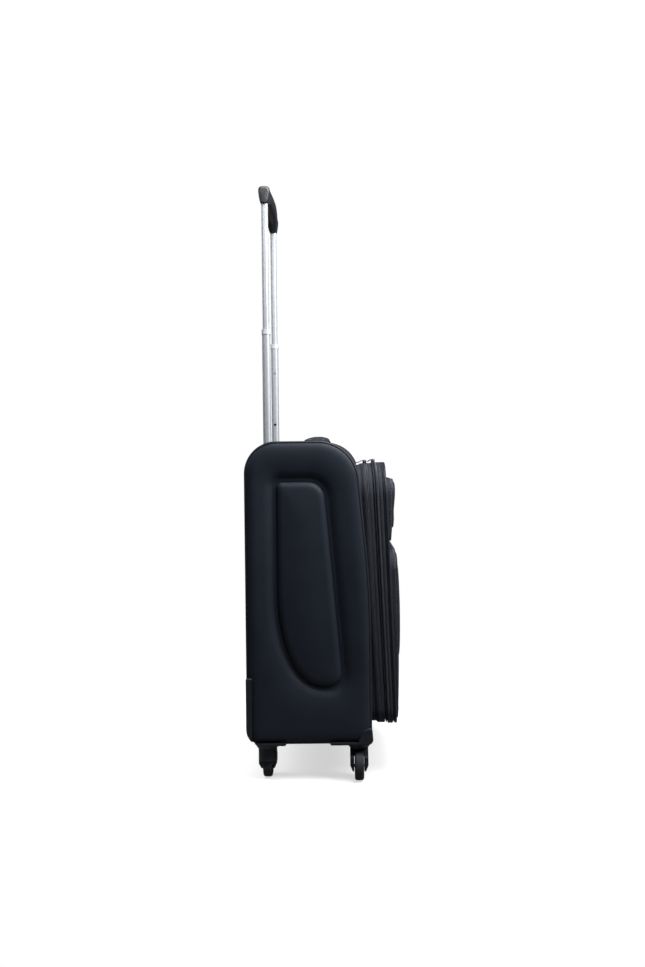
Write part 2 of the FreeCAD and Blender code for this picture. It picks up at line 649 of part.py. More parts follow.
def expansion_gusset():
    """Bellows of lining fabric, folded behind the expansion zip."""
    return lid_ring(LID_WALL + 0.6, 2.5, SPLIT_MAIN + 0.02, 0.86)


def expansion_zipper():
    """Zip tape and coil around the lid's front half."""
    return lid_ring(-1.2, 1.2, SPLIT_EXPAND + 0.02, 0.62)


def lid_band():
    """Fabric wall in front of the expansion zip."""
    return lid_ring(0, LID_WALL, SPLIT_EXPAND, 0.93)


def lid_panel():
    """Front board of the lid."""
    return lid_prism(0).common(lid_slab(0.93, 1.0))


def lid_piping():
    """Corded edge around the front of the lid."""
    return lid_ring(-2.0, 2.0, 0.92, 1.0)


# half width, bottom, top, corner radius, front at the bottom, at the belly and at the top
UPPER_POCKET = (128.0, 385.0, 488.0, 24.0, -114.5, -120.5, -123.0)
LOWER_POCKET = (138.0, 92.0, 370.0, 34.0, -121.5, -126.8, -124.2)


def pocket_prism(spec, inset=0.0):
    half, low, high, radius = spec[:4]
    corners = [(-half + inset, low + inset, 6), (half - inset, low + inset, 6),
               (half - inset, high - inset, radius), (-half + inset, high - inset, radius)]
    face = Part.Face(rounded_wire(corners, in_xz))
    face.translate(V(0, -200, 0))
    return face.extrude(V(0, 200, 0))


def pocket_wedge(spec, share0, share1):
    """The room between two shares of a pocket's thickness, in front of the lid's panel."""
    half, low, high = spec[:3]
    y_low, belly_y, y_high = spec[4:7]

    def at(share, z, front):
        return V(-200, lid_y(1.0, z) + (front - lid_y(1.0, z)) * share, z)

    middle = (low + high) / 2
    low_z, high_z = low - 5, high + 5

    def line(share):
        return [at(share, low_z, y_low), at(share, middle, belly_y), at(share, high_z, y_high)]

    def edge(share, turn):
        points = line(share)
        if turn:
            points.reverse()
        if share == 0:
            return Part.LineSegment(points[0], points[2]).toShape()
        return Part.Arc(*points).toShape()

    first, second = edge(share0, False), edge(share1, True)
    ends = [Part.LineSegment(at(share0, high_z, y_high), at(share1, high_z, y_high)).toShape(),
            Part.LineSegment(at(share1, low_z, y_low), at(share0, low_z, y_low)).toShape()]
    wire = Part.Wire([first, ends[0], second, ends[1]])
    return Part.Face(wire).extrude(V(400, 0, 0))


POCKET_SEAM = 0.55


def upper_pocket_gusset():
    return pocket_prism(UPPER_POCKET).common(pocket_wedge(UPPER_POCKET, 0, POCKET_SEAM))


def upper_pocket_panel():
    return pocket_prism(UPPER_POCKET, 1.5).common(pocket_wedge(UPPER_POCKET, POCKET_SEAM, 1.0))


def lower_pocket_gusset():
    return pocket_prism(LOWER_POCKET).common(pocket_wedge(LOWER_POCKET, 0, POCKET_SEAM))


def lower_pocket_panel():
    return pocket_prism(LOWER_POCKET, 1.5).common(pocket_wedge(LOWER_POCKET, POCKET_SEAM, 1.0))


# ---- zip sliders: a slider with its pull, each in one node ----------------------------------
SLIDER = (9.0, 8.0, 4.0)


def top_slider(x, y, z, lean):
    """Slider on a zip that runs along the top of the lid, with its pull lying back by lean."""
    length, width, height = SLIDER
    body = box(x - length / 2, x + length / 2, y - width / 2, y + width / 2, z + 0.3, z + 0.3 + height)
    pull = box(x - 3, x + 3, y, y + lean, z + 0.3 + height, z + 1.9 + height)
    return body.fuse(pull).removeSplitter()


def main_slider(side):
    y = lid_y(SPLIT_MAIN + 0.02, LID_TOP)
    return top_slider(side * 8.0, y, LID_TOP, 15.0)


def expansion_slider():
    y = lid_y(0.53, LID_TOP)
    return top_slider(-70.0, y, LID_TOP + 1.2, 10.0)


def pocket_slider(spec, z):
    """Slider on the +X side of a pocket, its pull hanging down beside the pocket."""
    half, low, high, _, y_low, _, y_high = spec
    front = y_low + (y_high - y_low) * (z - low) / (high - low)
    length, width, height = SLIDER
    seam = lid_y(1.0, z) + (front - lid_y(1.0, z)) * POCKET_SEAM
    seam = min(seam, lid_y(1.0, z + 20) - width / 2 - 0.8)
    x = half + 0.3
    body = box(x, x + height, seam - width / 2, seam + width / 2, z - length / 2, z + length / 2)
    pull = box(x + height, x + height + 1.6, seam - 3, seam + 3, z - 18, z + 2)
    return body.fuse(pull).removeSplitter()


# ---- carry handle --------------------------------------------------------------------------
HANDLE_Y, HANDLE_WIDTH, HANDLE_HALF = 8.5, 40.0, 92.0
HANDLE_TOP, HANDLE_UNDER = 564.0, 552.2
ANCHOR_TOP = 556.0


def carry_handle():
    """Padded strap that lies on the top of the case and lifts off it to be held."""
    end_low, end_high = V(-HANDLE_HALF, 0, HANDLE_UNDER), V(-HANDLE_HALF, 0, HANDLE_UNDER + 3)
    far_low, far_high = V(HANDLE_HALF, 0, HANDLE_UNDER), V(HANDLE_HALF, 0, HANDLE_UNDER + 3)
    outline = Part.Wire([
        Part.LineSegment(end_low, end_high).toShape(),
        Part.Arc(end_high, V(0, 0, HANDLE_TOP), far_high).toShape(),
        Part.LineSegment(far_high, far_low).toShape(),
        Part.LineSegment(far_low, end_low).toShape()])
    strap = Part.Face(outline)
    strap.translate(V(0, HANDLE_Y - HANDLE_WIDTH / 2, 0))
    return strap.extrude(V(0, HANDLE_WIDTH, 0))


def handle_anchors():
    """Moulded caps that hold the strap's ends down on the case's top."""
    corners = [(HANDLE_HALF + 0.6, HANDLE_Y - 21, 6), (HANDLE_HALF + 26, HANDLE_Y - 21, 8),
               (HANDLE_HALF + 26, HANDLE_Y + 21, 8), (HANDLE_HALF + 0.6, HANDLE_Y + 21, 6)]
    face = Part.Face(rounded_wire(corners, in_xy))
    face.translate(V(0, 0, BODY_TOP - 10))
    cap = face.extrude(V(0, 0, ANCHOR_TOP - BODY_TOP + 10))
    return pair(cap.cut(body_solid(0, -200, 200)))


# ---- write the sub-parts -------------------------------------------------------------------
def casters():
    made = {}
    for side, name_x in ((-1, "left"), (1, "right")):
        for y, name_y, way in ((REAR_CASTER_Y, "rear", -side), (FRONT_CASTER_Y, "front", side)):
            end = f"_{name_y}_{name_x}"
            place = (side * CASTER_X, y, way)
            made["fork" + end] = fork(*place)
            made["axle" + end] = axle(*place)
            made["hub" + end] = hub(*place)
            made["tyre" + end] = tyre(*place)
    return made


def main():
    os.makedirs("parts", exist_ok=True)
    rear, front = rear_housing(), front_housing()
    seats = [seat_bore(REAR_CASTER_Y), seat_bore(FRONT_CASTER_Y)]
    fixings = screws()
    nodes = {
        "top_gusset": opening_cut(top_gusset()),
        "back_panel": back_panel(),
        "bottom_gusset": opening_cut(bottom_gusset()),
        "front_frame": opening_cut(front_wall()),
        "side_panel_left": side_panel_at(-1),
        "side_panel_right": side_panel_at(1),
        "side_piping": side_piping(),
        "lining": lining(),
        "opening_wire": opening_wire(),
        "base_board": base_board(),
        "handle_tray": handle_tray(),
        "outer_tubes": outer_tubes(),
        "tube_foot_bracket": tube_foot_bracket(),
        "rear_housings": pair(rear.cut(seats[0])).cut(fixings),
        "front_housings": pair(front.cut(seats[1])).cut(fixings),
        "caster_kingpins": kingpins(),
        "housing_screws": fixings,
        "body_zip_tape": body_zip_tape(),
        "handle_anchors": handle_anchors(),
        "carry_handle": carry_handle(),
        "lid_gusset": lid_gusset(),
        "expansion_gusset": expansion_gusset(),
        "lid_band": lid_band(),
        "expansion_zipper": expansion_zipper(),
        "lid_panel": lid_panel(),
        "lid_piping": lid_piping(),
        "upper_pocket_gusset": upper_pocket_gusset(),
        "upper_pocket_panel": upper_pocket_panel(),
        "lower_pocket_gusset": lower_pocket_gusset(),
        "lower_pocket_panel": lower_pocket_panel(),
        "main_slider_left": main_slider(-1),
        "main_slider_right": main_slider(1),
        "expansion_slider": expansion_slider(),
        "upper_pocket_slider": pocket_slider(UPPER_POCKET, 408.0),
        "lower_pocket_slider": pocket_slider(LOWER_POCKET, 130.0),
        "middle_tubes": middle_tubes(),
        "stage_bushes": stage_bushes(),
        "inner_tubes": inner_tubes(),
        "grip_upper": grip_upper(),
        "grip_lower": grip_lower(),
        "lock_blocks": lock_blocks(),
        "release_button": release_button(),
        "release_rods": release_rods(),
        "button_spring": button_spring(),
    }
    nodes.update(casters())
    for name, shape in nodes.items():
        export(shape, name)
    print(len(nodes), "nodes")


main()
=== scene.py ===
"""Looks of a softside spinner suitcase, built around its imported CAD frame.

Lengths in this script are millimetres, and become metres where a mesh is made. The front,
with the pockets, faces -Y, the back faces +Y, and +Z is up.
"""

import json
import math

import bmesh
import bpy
import numpy as np
from mathutils import Matrix, Vector, noise

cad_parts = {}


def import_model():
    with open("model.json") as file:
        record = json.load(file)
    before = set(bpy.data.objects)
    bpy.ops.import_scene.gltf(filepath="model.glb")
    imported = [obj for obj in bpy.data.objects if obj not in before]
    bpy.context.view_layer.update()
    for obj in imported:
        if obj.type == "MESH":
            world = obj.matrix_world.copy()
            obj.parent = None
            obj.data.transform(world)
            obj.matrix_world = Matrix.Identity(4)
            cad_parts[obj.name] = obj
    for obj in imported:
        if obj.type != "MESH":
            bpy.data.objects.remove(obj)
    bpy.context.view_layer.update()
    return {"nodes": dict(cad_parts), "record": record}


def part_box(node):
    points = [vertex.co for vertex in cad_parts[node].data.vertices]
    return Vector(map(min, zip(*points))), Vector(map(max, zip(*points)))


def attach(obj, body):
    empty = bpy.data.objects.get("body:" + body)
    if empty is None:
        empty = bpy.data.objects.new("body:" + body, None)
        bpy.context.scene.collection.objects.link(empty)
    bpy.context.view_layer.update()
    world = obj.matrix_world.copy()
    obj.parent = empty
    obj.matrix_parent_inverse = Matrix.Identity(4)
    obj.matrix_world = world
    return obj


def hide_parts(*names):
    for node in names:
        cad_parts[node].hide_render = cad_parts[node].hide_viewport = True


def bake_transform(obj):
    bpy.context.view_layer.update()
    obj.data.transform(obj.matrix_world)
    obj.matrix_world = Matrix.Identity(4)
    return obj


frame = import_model()

MM = 0.001
SCENE = bpy.context.scene


def extent(node):
    """Lowest and highest corner of a CAD node, in millimetres."""
    low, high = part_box(node)
    return np.array(low) / MM, np.array(high) / MM


# ---- dimensions, from the frame where it has them
BODY_BACK = extent("back_panel")[1][1]
BODY_TOP = extent("top_gusset")[1][2]
BODY_BOTTOM = extent("bottom_gusset")[0][2]
BAND_HALF = extent("back_panel")[1][0]
PANEL_FACE = extent("side_panel_right")[1][0]
CASE_OUTLINE = [(BODY_BACK, BODY_BOTTOM, 20), (BODY_BACK, BODY_TOP, 50), (-53, BODY_TOP, 65),
                (-75.4, 310, 1500), (-75, BODY_BOTTOM, 20)]

LID_LOW, LID_HIGH = extent("lid_gusset")
LID_HALF, LID_BOTTOM, LID_TOP = LID_HIGH[0], LID_LOW[2], LID_HIGH[2]
LID_MIDDLE = (LID_BOTTOM + LID_TOP) / 2
LID_RADIUS, LID_LOW_RADIUS = 55.0, 28.0
LID_REAR, LID_FRONT = (-87.4, -66.5), (-118.8, -105.0)

TRAY_LOW, TRAY_HIGH = extent("handle_tray")
TRAY_FLANGE = 5


# ---- outlines and meshes
def outline(corners, inset=0.0, step=2.0):
    """Points along a closed outline of straight runs and tangent arcs, drawn in by inset."""
    points = []
    count = len(corners)
    for i, (a, b, radius) in enumerate(corners):
        here = np.array((a, b), float)
        before = np.array(corners[i - 1][:2], float) - here
        after = np.array(corners[(i + 1) % count][:2], float) - here
        before /= np.linalg.norm(before)
        after /= np.linalg.norm(after)
        half = math.acos(np.clip(before @ after, -1, 1)) / 2
        middle = (before + after) / np.linalg.norm(before + after)
        here = here + middle * inset / math.sin(half)
        radius = max(radius - inset, 0.5)
        centre = here + middle * radius / math.sin(half)
        start = here + before * radius / math.tan(half) - centre
        end = here + after * radius / math.tan(half) - centre
        first, last = math.atan2(start[1], start[0]), math.atan2(end[1], end[0])
        turn = (last - first + math.pi) % (2 * math.pi) - math.pi
        steps = max(4, int(abs(turn) * radius / step))
        for k in range(steps + 1):
            angle = first + turn * k / steps
            points.append(centre + radius * np.array((math.cos(angle), math.sin(angle))))
    return densify(np.array(points), step)


def rounded_box(low, high, radii, inset=0.0, step=2.0):
    """Outline of a box between two corners, with a radius for each of its four corners."""
    corners = ((low[0], low[1]), (high[0], low[1]), (high[0], high[1]), (low[0], high[1]))
    return outline([(*c, radius) for c, radius in zip(corners, radii)], inset, step)


def densify(loop, step):
    """The closed loop with its long runs divided, so that no two points are far apart."""
    made = []
    for a, b in zip(loop, np.roll(loop, -1, axis=0)):
        pieces = max(1, int(np.linalg.norm(b - a) / step))
        made.extend(a + (b - a) * k / pieces for k in range(pieces))
    keep = [p for i, p in enumerate(made) if np.linalg.norm(p - made[i - 1]) > 1e-4]
    return np.array(keep)


def even(loop, count):
    """The closed loop as count points at equal distances."""
    closed = np.vstack([loop, loop[:1]])
    length = np.concatenate([[0], np.cumsum(np.linalg.norm(np.diff(closed, axis=0), axis=1))])
    at = np.linspace(0, length[-1], count, endpoint=False)
    return np.stack([np.interp(at, length, closed[:, k]) for k in (0, 1)], axis=1)


def outward(loop):
    """Unit normals that point out of a closed loop."""
    along = np.roll(loop, -1, axis=0) - np.roll(loop, 1, axis=0)
    normal = np.stack([along[:, 1], -along[:, 0]], axis=1)
    normal /= np.linalg.norm(normal, axis=1)[:, None]
    area = np.sum(loop[:, 0] * np.roll(loop[:, 1], -1) - np.roll(loop[:, 0], -1) * loop[:, 1])
    return normal if area > 0 else -normal


def distance_to(points, loop):
    """Distance from each point to the closed loop."""
    ends = np.roll(loop, -1, axis=0)
    along = ends - loop
    size = np.sum(along ** 2, axis=1)
    best = np.full(len(points), 1e9)
    for start in range(0, len(points), 2000):
        gap = points[start:start + 2000, None, :] - loop[None]
        t = np.clip(np.sum(gap * along[None], axis=2) / size, 0, 1)
        best[start:start + 2000] = np.linalg.norm(gap - t[..., None] * along[None], axis=2).min(1)
    return best


def ray_rows(loops, centre, directions):
    """Where rays from the centre cross each loop: one row of points for each loop."""
    rows = []
    for loop in loops:
        rel = loop - centre
        angle, reach = np.arctan2(rel[:, 1], rel[:, 0]), np.linalg.norm(rel, axis=1)
        order = np.argsort(angle)
        radius = np.interp(directions, angle[order], reach[order], period=2 * math.pi)
        ray = np.stack([np.cos(directions), np.sin(directions)], axis=1)
        rows.append(centre + radius[:, None] * ray)
    return rows


def directions_through(loops, centre, each):
    """Directions from the centre through evenly spaced points of each loop."""
    found = [np.arctan2(*(even(loop, each) - centre).T[::-1]) for loop in loops]
    return np.sort(np.concatenate(found))


def in_order(chosen):
    """Points chosen from a closed loop, turned so that a stretch over its start stays whole."""
    gap = next((k for k in range(1, len(chosen)) if chosen[k] != chosen[k - 1] + 1), 0)
    return chosen[gap:] + chosen[:gap]


def turns(count):
    """Angles of a full turn in count equal steps."""
    return [2 * math.pi * k / count for k in range(count)]


def boxy(value, power):
    """A sine or cosine raised to a power with its sign kept, which squares a round section."""
    return math.copysign(abs(value) ** power, value)


def soften(value, low, high):
    """Smooth step from 0 at low to 1 at high."""
    t = np.clip((value - low) / (high - low), 0, 1)
    return t * t * (3 - 2 * t)


def ripple(point, size, seed=0.0):
    """Smooth noise between about -1 and 1 for a point in millimetres."""
    return noise.noise(Vector((point[0] / size + seed, point[1] / size, point[2] / size)))


class Build:
    """Vertices and faces gathered from several strips, to become one object."""

    def __init__(self):
        self.points, self.faces, self.slots = [], [], []

    def grid(self, rows, close_across=True, close_along=False, slot=0, flip=False, keep=None):
        """Faces between rows of points; keep(i, j) says which cells stay."""
        base = len(self.points)
        count = len(rows[0])
        for row in rows:
            self.points.extend(row)
        for i in range(len(rows) if close_along else len(rows) - 1):
            below = (i + 1) % len(rows)
            for j in range(count if close_across else count - 1):
                k = (j + 1) % count
                if keep and not keep(i, j):
                    continue
                face = [base + i * count + j, base + i * count + k,
                        base + below * count + k, base + below * count + j]
                self.faces.append(face[::-1] if flip else face)
                self.slots.append(slot)
        return self

    def cap(self, row, centre, slot=0, flip=False):
        """A fan from a row of points to their middle."""
        base = len(self.points)
        self.points.extend(row)
        self.points.append(centre)
        for j in range(len(row)):
            face = [base + j, base + (j + 1) % len(row), base + len(row)]
            self.faces.append(face[::-1] if flip else face)
            self.slots.append(slot)
        return self

    def finish(self, name, materials, weld=0.02, recalc=False):
        """The object, with points that are closer than weld made one."""
        mesh = bpy.data.meshes.new(name)
        mesh.from_pydata([[float(c) * MM for c in p] for p in self.points], [], self.faces)
        mesh.polygons.foreach_set("material_index", self.slots)
        b = bmesh.new()
        b.from_mesh(mesh)
        bmesh.ops.remove_doubles(b, verts=b.verts, dist=weld * MM)
        bmesh.ops.dissolve_degenerate(b, edges=b.edges, dist=weld * MM * 0.5)
        if recalc:
            bmesh.ops.recalc_face_normals(b, faces=b.faces)
        b.to_mesh(mesh)
        b.free()
        mesh.polygons.foreach_set("use_smooth", [True] * len(mesh.polygons))
        for material in materials:
            mesh.materials.append(material)
        made = bpy.data.objects.new(name, mesh)
        SCENE.collection.objects.link(made)
        return made


def tube(build, path, radius, sides=8, closed=True, slot=0):
    """A round tube along a path of points, closed or open."""
    path = np.array(path, float)
    along = (np.roll(path, -1, axis=0) - np.roll(path, 1, axis=0) if closed
             else np.gradient(path, axis=0))
    along /= np.linalg.norm(along, axis=1)[:, None]
    aside = (0.13, 0.21, 0.97) if abs(along[0][2]) < 0.9 else (0.97, 0.21, 0.13)
    rows, up = [], None
    for at, way in zip(path, along):
        across = np.cross(way, aside) if up is None else np.cross(up, way)
        across /= np.linalg.norm(across)
        up = np.cross(way, across)
        rows.append([at + radius * (math.cos(t) * across + math.sin(t) * up)
                     for t in turns(sides)])
    build.grid(rows, close_along=closed, slot=slot, flip=True)


def place(piece, body, slot, *nodes):
    """The piece rides on a body and stands for these CAD nodes, which are hidden; slot is not used.
    """
    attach(piece, body)
    if nodes:
        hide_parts(*nodes)


# ---- materials
class Nodes:
    """A material's node tree, with short ways to add nodes."""

    def __init__(self, name):
        self.material = bpy.data.materials.new(name)
        self.material.use_nodes = True
        self.tree = self.material.node_tree
        self.shader = self.tree.nodes["Principled BSDF"]
        coords = self.node("TexCoord")
        self.where, self.normal = coords.outputs["Object"], coords.outputs["Normal"]

    def node(self, kind, **inputs):
        """A new node, with these inputs set or linked."""
        made = self.tree.nodes.new("ShaderNode" + kind)
        for name, value in inputs.items():
            self.link(value, made.inputs[name.replace("_", " ")])
        return made

    def link(self, source, target):
        if hasattr(source, "is_output"):
            self.tree.links.new(source, target)
        else:
            target.default_value = source

    def math(self, operation, a, b=0.0, c=0.0):
        node = self.node("Math")
        node.operation = operation
        for value, socket in zip((a, b, c), node.inputs):
            self.link(value, socket)
        return node.outputs[0]

    def split(self, vector):
        node = self.node("SeparateXYZ")
        self.link(vector, node.inputs[0])
        return node.outputs

    def noise(self, size, detail=2.0, stretch=(1, 1, 1)):
        """Noise between 0 and 1 whose blobs are about size millimetres across."""
        scale = self.node("VectorMath")
        scale.operation = "MULTIPLY"
        self.link(self.where, scale.inputs[0])
        self.link(stretch, scale.inputs[1])
        return self.node("TexNoise", Scale=1 / (size * MM), Detail=detail,
                         Vector=scale.outputs[0]).outputs[0]

    def rough(self, factor, low, high):
        """Roughness from low to high as the factor goes from 0 to 1."""
        node = self.node("MapRange", Value=factor, To_Min=low, To_Max=high)
        self.link(node.outputs[0], self.shader.inputs["Roughness"])

    def tint(self, factor, dark, light):
        node = self.node("Mix")
        node.data_type = "RGBA"
        self.link(factor, node.inputs["Factor"])
        node.inputs[6].default_value = (*dark, 1)
        node.inputs[7].default_value = (*light, 1)
        self.link(node.outputs[2], self.shader.inputs["Base Color"])

    def bump(self, height, depth, strength=1.0, under=None):
        """Height from 0 to 1 as a bump that is depth millimetres deep."""
        node = self.node("Bump", Strength=strength, Distance=depth * MM, Height=height)
        if under is not None:
            self.link(under, node.inputs["Normal"])
        self.link(node.outputs[0], self.shader.inputs["Normal"])
        return node.outputs[0]

    def weave(self, pitch):
        """Plain weave with that pitch in millimetres, laid over each way that a face can look."""
        k = 2 * math.pi / (pitch * MM)
        x, y, z = self.split(self.where)
        x, y, z = [self.math("SINE", self.math("MULTIPLY", axis, k)) for axis in (x, y, z)]
        total, weighted = 0.0, 0.0
        for face, (a, b) in zip(self.split(self.normal), ((y, z), (x, z), (x, y))):
            weight = self.math("POWER", self.math("ABSOLUTE", face), 5)
            part = self.math("MULTIPLY", self.math("MULTIPLY", a, b), weight)
            total = self.math("ADD", total, weight)
            weighted = self.math("ADD", weighted, part)
        woven = self.math("DIVIDE", weighted, self.math("ADD", total, 0.001))
        return self.math("MULTIPLY_ADD", woven, 0.5, 0.5)

    def set(self, **values):
        for name, value in values.items():
            socket = name.replace("_", " ").title().replace("Ior", "IOR")
            self.shader.inputs[socket].default_value = value
        return self


def smooth_fabric():
    """Laminated fabric over moulded foam: fine knit with painted shade in its hollows, satin, a
    little cloudy.
    """
    n = Nodes("side_fabric")
    cloud = n.noise(38, 3)
    knit = n.weave(0.9)
    # the knit's height darkens its hollows as painted shade; the cloud is the fabric's own uneven
    # tone
    n.tint(n.math("MULTIPLY_ADD", knit, 0.35, n.math("MULTIPLY", cloud, 0.65)),
           (0.004, 0.0051, 0.0077), (0.007, 0.0087, 0.0126))
    n.rough(cloud, 0.44, 0.56)
    soft = n.bump(n.noise(22, 2), 0.35, 0.5)
    n.bump(knit, 0.05, 0.6, soft)
    return n.set(specular_ior_level=0.05).material


def woven_fabric(name="woven_fabric", pitch=1.5, dark=(0.0022, 0.0026, 0.004),
                 light=(0.0115, 0.013, 0.018)):
    """Coarse woven polyester: visible threads with painted shade in the hollows between them, matt,
    with uneven yarn.
    """
    n = Nodes(name)
    threads = n.weave(pitch)
    yarn = n.noise(3.5, 4)
    cloud = n.noise(60, 2)
    # the tint follows the weave's height, so the hollows between threads get painted shade; yarn
    # and cloud are the cloth's own uneven tone
    mix = n.math("MULTIPLY_ADD", threads, 0.5, n.math("MULTIPLY", yarn, 0.35))
    n.tint(n.math("MULTIPLY_ADD", cloud, 0.2, mix), dark, light)
    n.rough(yarn, 0.55, 0.8)
    loose = n.bump(n.noise(16, 3), 0.5, 0.4)
    n.bump(n.math("MULTIPLY_ADD", yarn, 0.3, threads), 0.22, 0.9, loose)
    return n.set(specular_ior_level=0.06).material


def cord_cover():
    """Extruded or fabric-covered piping, satin."""
    n = Nodes("piping_cover")
    fine = n.noise(1.2, 3)
    n.tint(fine, (0.0028, 0.0034, 0.005), (0.007, 0.0082, 0.0112))
    n.rough(n.noise(9, 2), 0.38, 0.52)
    n.bump(fine, 0.08, 0.5)
    return n.set(specular_ior_level=0.1).material


def fine_grained(name, grain, dark, light, gloss, relief, **values):
    """A surface with one fine grain, which shows in its colour, gloss and relief."""
    n = Nodes(name)
    fine = n.noise(*grain)
    n.tint(fine, dark, light)
    n.rough(fine, *gloss)
    n.bump(fine, *relief)
    return n.set(**values).material


def moulded(name, dark, light, rough, grain=0.6, level=0.5):
    """Moulded plastic with a fine spark texture and slightly uneven gloss."""
    n = Nodes(name)
    spark = n.noise(grain, 2)
    cloud = n.noise(24, 3)
    n.tint(n.math("MULTIPLY_ADD", spark, 0.3, n.math("MULTIPLY", cloud, 0.7)), dark, light)
    n.rough(cloud, rough - 0.06, rough + 0.08)
    n.bump(spark, 0.04, 0.45)
    return n.set(specular_ior_level=level).material


def anodised():
    """Satin anodised aluminium drawn along the tube, with fine lines and smudges."""
    n = Nodes("anodised_tube")
    lines = n.noise(0.5, 2, (1, 1, 0.01))
    cloud = n.noise(30, 3)
    n.tint(n.math("MULTIPLY_ADD", lines, 0.5, n.math("MULTIPLY", cloud, 0.5)),
           (0.13, 0.138, 0.15), (0.17, 0.179, 0.192))
    n.rough(lines, 0.48, 0.58)
    n.bump(lines, 0.008, 0.4)
    return n.set(metallic=0.45).material


SIDE_FABRIC, WEAVE, PIPING, TUBE = smooth_fabric(), woven_fabric(), cord_cover(), anodised()
COIL = fine_grained("zip_coil", (1.6, 2), (0.004, 0.0048, 0.0066), (0.015, 0.0168, 0.022),
                    (0.4, 0.55), (0.1, 0.6), specular_ior_level=0.12)
STEEL = fine_grained("plated_steel", (2.5, 3), (0.3, 0.3, 0.32), (0.48, 0.48, 0.5),
                     (0.25, 0.42), (0.03, 0.3), metallic=1.0)
LINING = woven_fabric("lining_cloth", 0.8, (0.018, 0.018, 0.022), (0.045, 0.046, 0.052))
HOUSING = moulded("housing_plastic", (0.003, 0.0038, 0.0054), (0.0065, 0.0078, 0.0105), 0.50,
                  0.9, 0.09)
GRIP = moulded("grip_plastic", (0.0028, 0.0032, 0.0042), (0.006, 0.0068, 0.0085), 0.42, 4.0, 0.26)
WHEEL = moulded("wheel_nylon", (0.0035, 0.0043, 0.0058), (0.0075, 0.009, 0.0115), 0.48, 0.9, 0.12)
TREAD = moulded("tread_rubber", (0.0035, 0.004, 0.005), (0.0075, 0.0085, 0.0105), 0.66, 1.2, 0.1)
BOARD = moulded("plain_board", (0.03, 0.03, 0.033), (0.07, 0.07, 0.075), 0.6, 1.5, 0.4)
BUSH = moulded("grey_bush", (0.15, 0.155, 0.17), (0.22, 0.225, 0.24), 0.45, 0.6, 0.4)
SLIDER = moulded("black_enamel", (0.0025, 0.0028, 0.0036), (0.0055, 0.006, 0.0075), 0.52, 1.6, 0.1)
CAP = moulded("matte_cap", (0.0034, 0.0042, 0.006), (0.007, 0.0084, 0.0115), 0.60, 1.8, 0.06)
BY_SLOT = {"body_fabric": SIDE_FABRIC, "weave": WEAVE, "piping": PIPING, "zip": WEAVE,
           "lining": LINING, "housing": HOUSING, "grip": GRIP, "wheel": WHEEL, "tread": TREAD,
           "board": BOARD, "bush": BUSH, "slider": SLIDER, "tube": TUBE, "steel": STEEL}
for part in frame["record"]["subparts"]:
    slots = frame["nodes"][part["node"]].data.materials
    slots.clear()
    slots.append(BY_SLOT[part["material_slot"]])


# ---- moulded side panels
def shield(inset=0.0):
    """The relief's outline: straight back and top, leaning front, one long curved flank."""
    top, back, front_top, front_low = 492.5 - inset, 81.0 - inset, -11.5 + inset, -36.0 + inset
    flank, tip, low, fullness = 312.0, -6.0, 146.0 + inset, 0.90
    corner, big, small = max(28.0 - inset, 4), max(34.0 - inset, 4), max(15.0 - inset, 3)
    points = []
    for d in np.linspace(0, 90, 40):
        a = math.radians(d)
        points.append((tip + (back - tip) * max(math.cos(a), 0) ** fullness,
                       flank - (flank - low) * math.sin(a) ** fullness))
    lean = math.atan2(front_top - front_low, top - big - low - corner)
    for centre, radius, first, last in (
            ((front_low + corner, low + corner), corner, 270, 180 - math.degrees(lean)),
            ((front_top + big, top - big), big, 180 - math.degrees(lean), 90),
            ((back - small, top - small), small, 90, 0)):
        for d in np.linspace(first, last, 12):
            a = math.radians(d)
            points.append((centre[0] + radius * math.cos(a), centre[1] + radius * math.sin(a)))
    return densify(np.array(points), 2.0)


SHIELD, SIDE_MIDDLE = shield(), np.array((15.0, 320.0))
EDGE_DROP, EDGE_ROLL, EDGE_RISE = 8.0, 17.0, 7.0  # the side's rolled rim
CROWN, CROWN_RUN = 1.2, 40.0  # and the slight crown inside it
SHOULDER, SHOULDER_FALL = 38.0, 3.8  # how far out the relief's shoulder starts
RELIEF_FALL, RELIEF_DEPTH = 16.0, 4.8  # the steep wall down to the step
STEP_WIDTH, SEAM_DEPTH = 6.2, 1.1  # the step, and the crease at the pillow's foot
PILLOW_ROLL, PILLOW_RISE = 11.0, 5.4  # the pillow's rolled edge
PILLOW_DOME, PILLOW_RUN = 2.8, 48.0  # and its dome


def side_height(points):
    """How far the moulded side stands out at (y, z) points."""
    edge = distance_to(points, outline(CASE_OUTLINE))
    inner = distance_to(points, SHIELD)
    rel = points - SIDE_MIDDLE
    crossing = ray_rows([SHIELD], SIDE_MIDDLE, np.arctan2(rel[:, 1], rel[:, 0]))[0] - SIDE_MIDDLE
    inside = np.linalg.norm(rel, axis=1) < np.linalg.norm(crossing, axis=1) + 1e-6
    t = np.where(inside, inner, -inner)
    roll = np.clip(edge / EDGE_ROLL, 0, 1)
    height = PANEL_FACE - EDGE_DROP + EDGE_RISE * np.sqrt(1 - (1 - roll) ** 2)
    height += CROWN * soften(edge, 0, CROWN_RUN)
    height -= SHOULDER_FALL * soften(t, -SHOULDER, 0)
    height -= RELIEF_DEPTH * np.clip((t + RELIEF_FALL) / (RELIEF_FALL + 0.5), 0, 1) ** 2.2
    height -= SEAM_DEPTH * np.exp(-(t - STEP_WIDTH - 0.8) ** 2)
    rise = np.clip((t - STEP_WIDTH - 0.5) / PILLOW_ROLL, 0, 1)
    height += PILLOW_RISE * (1 - (1 - rise) ** 2) ** 0.8
    return height + PILLOW_DOME * soften(t, STEP_WIDTH, PILLOW_RUN)


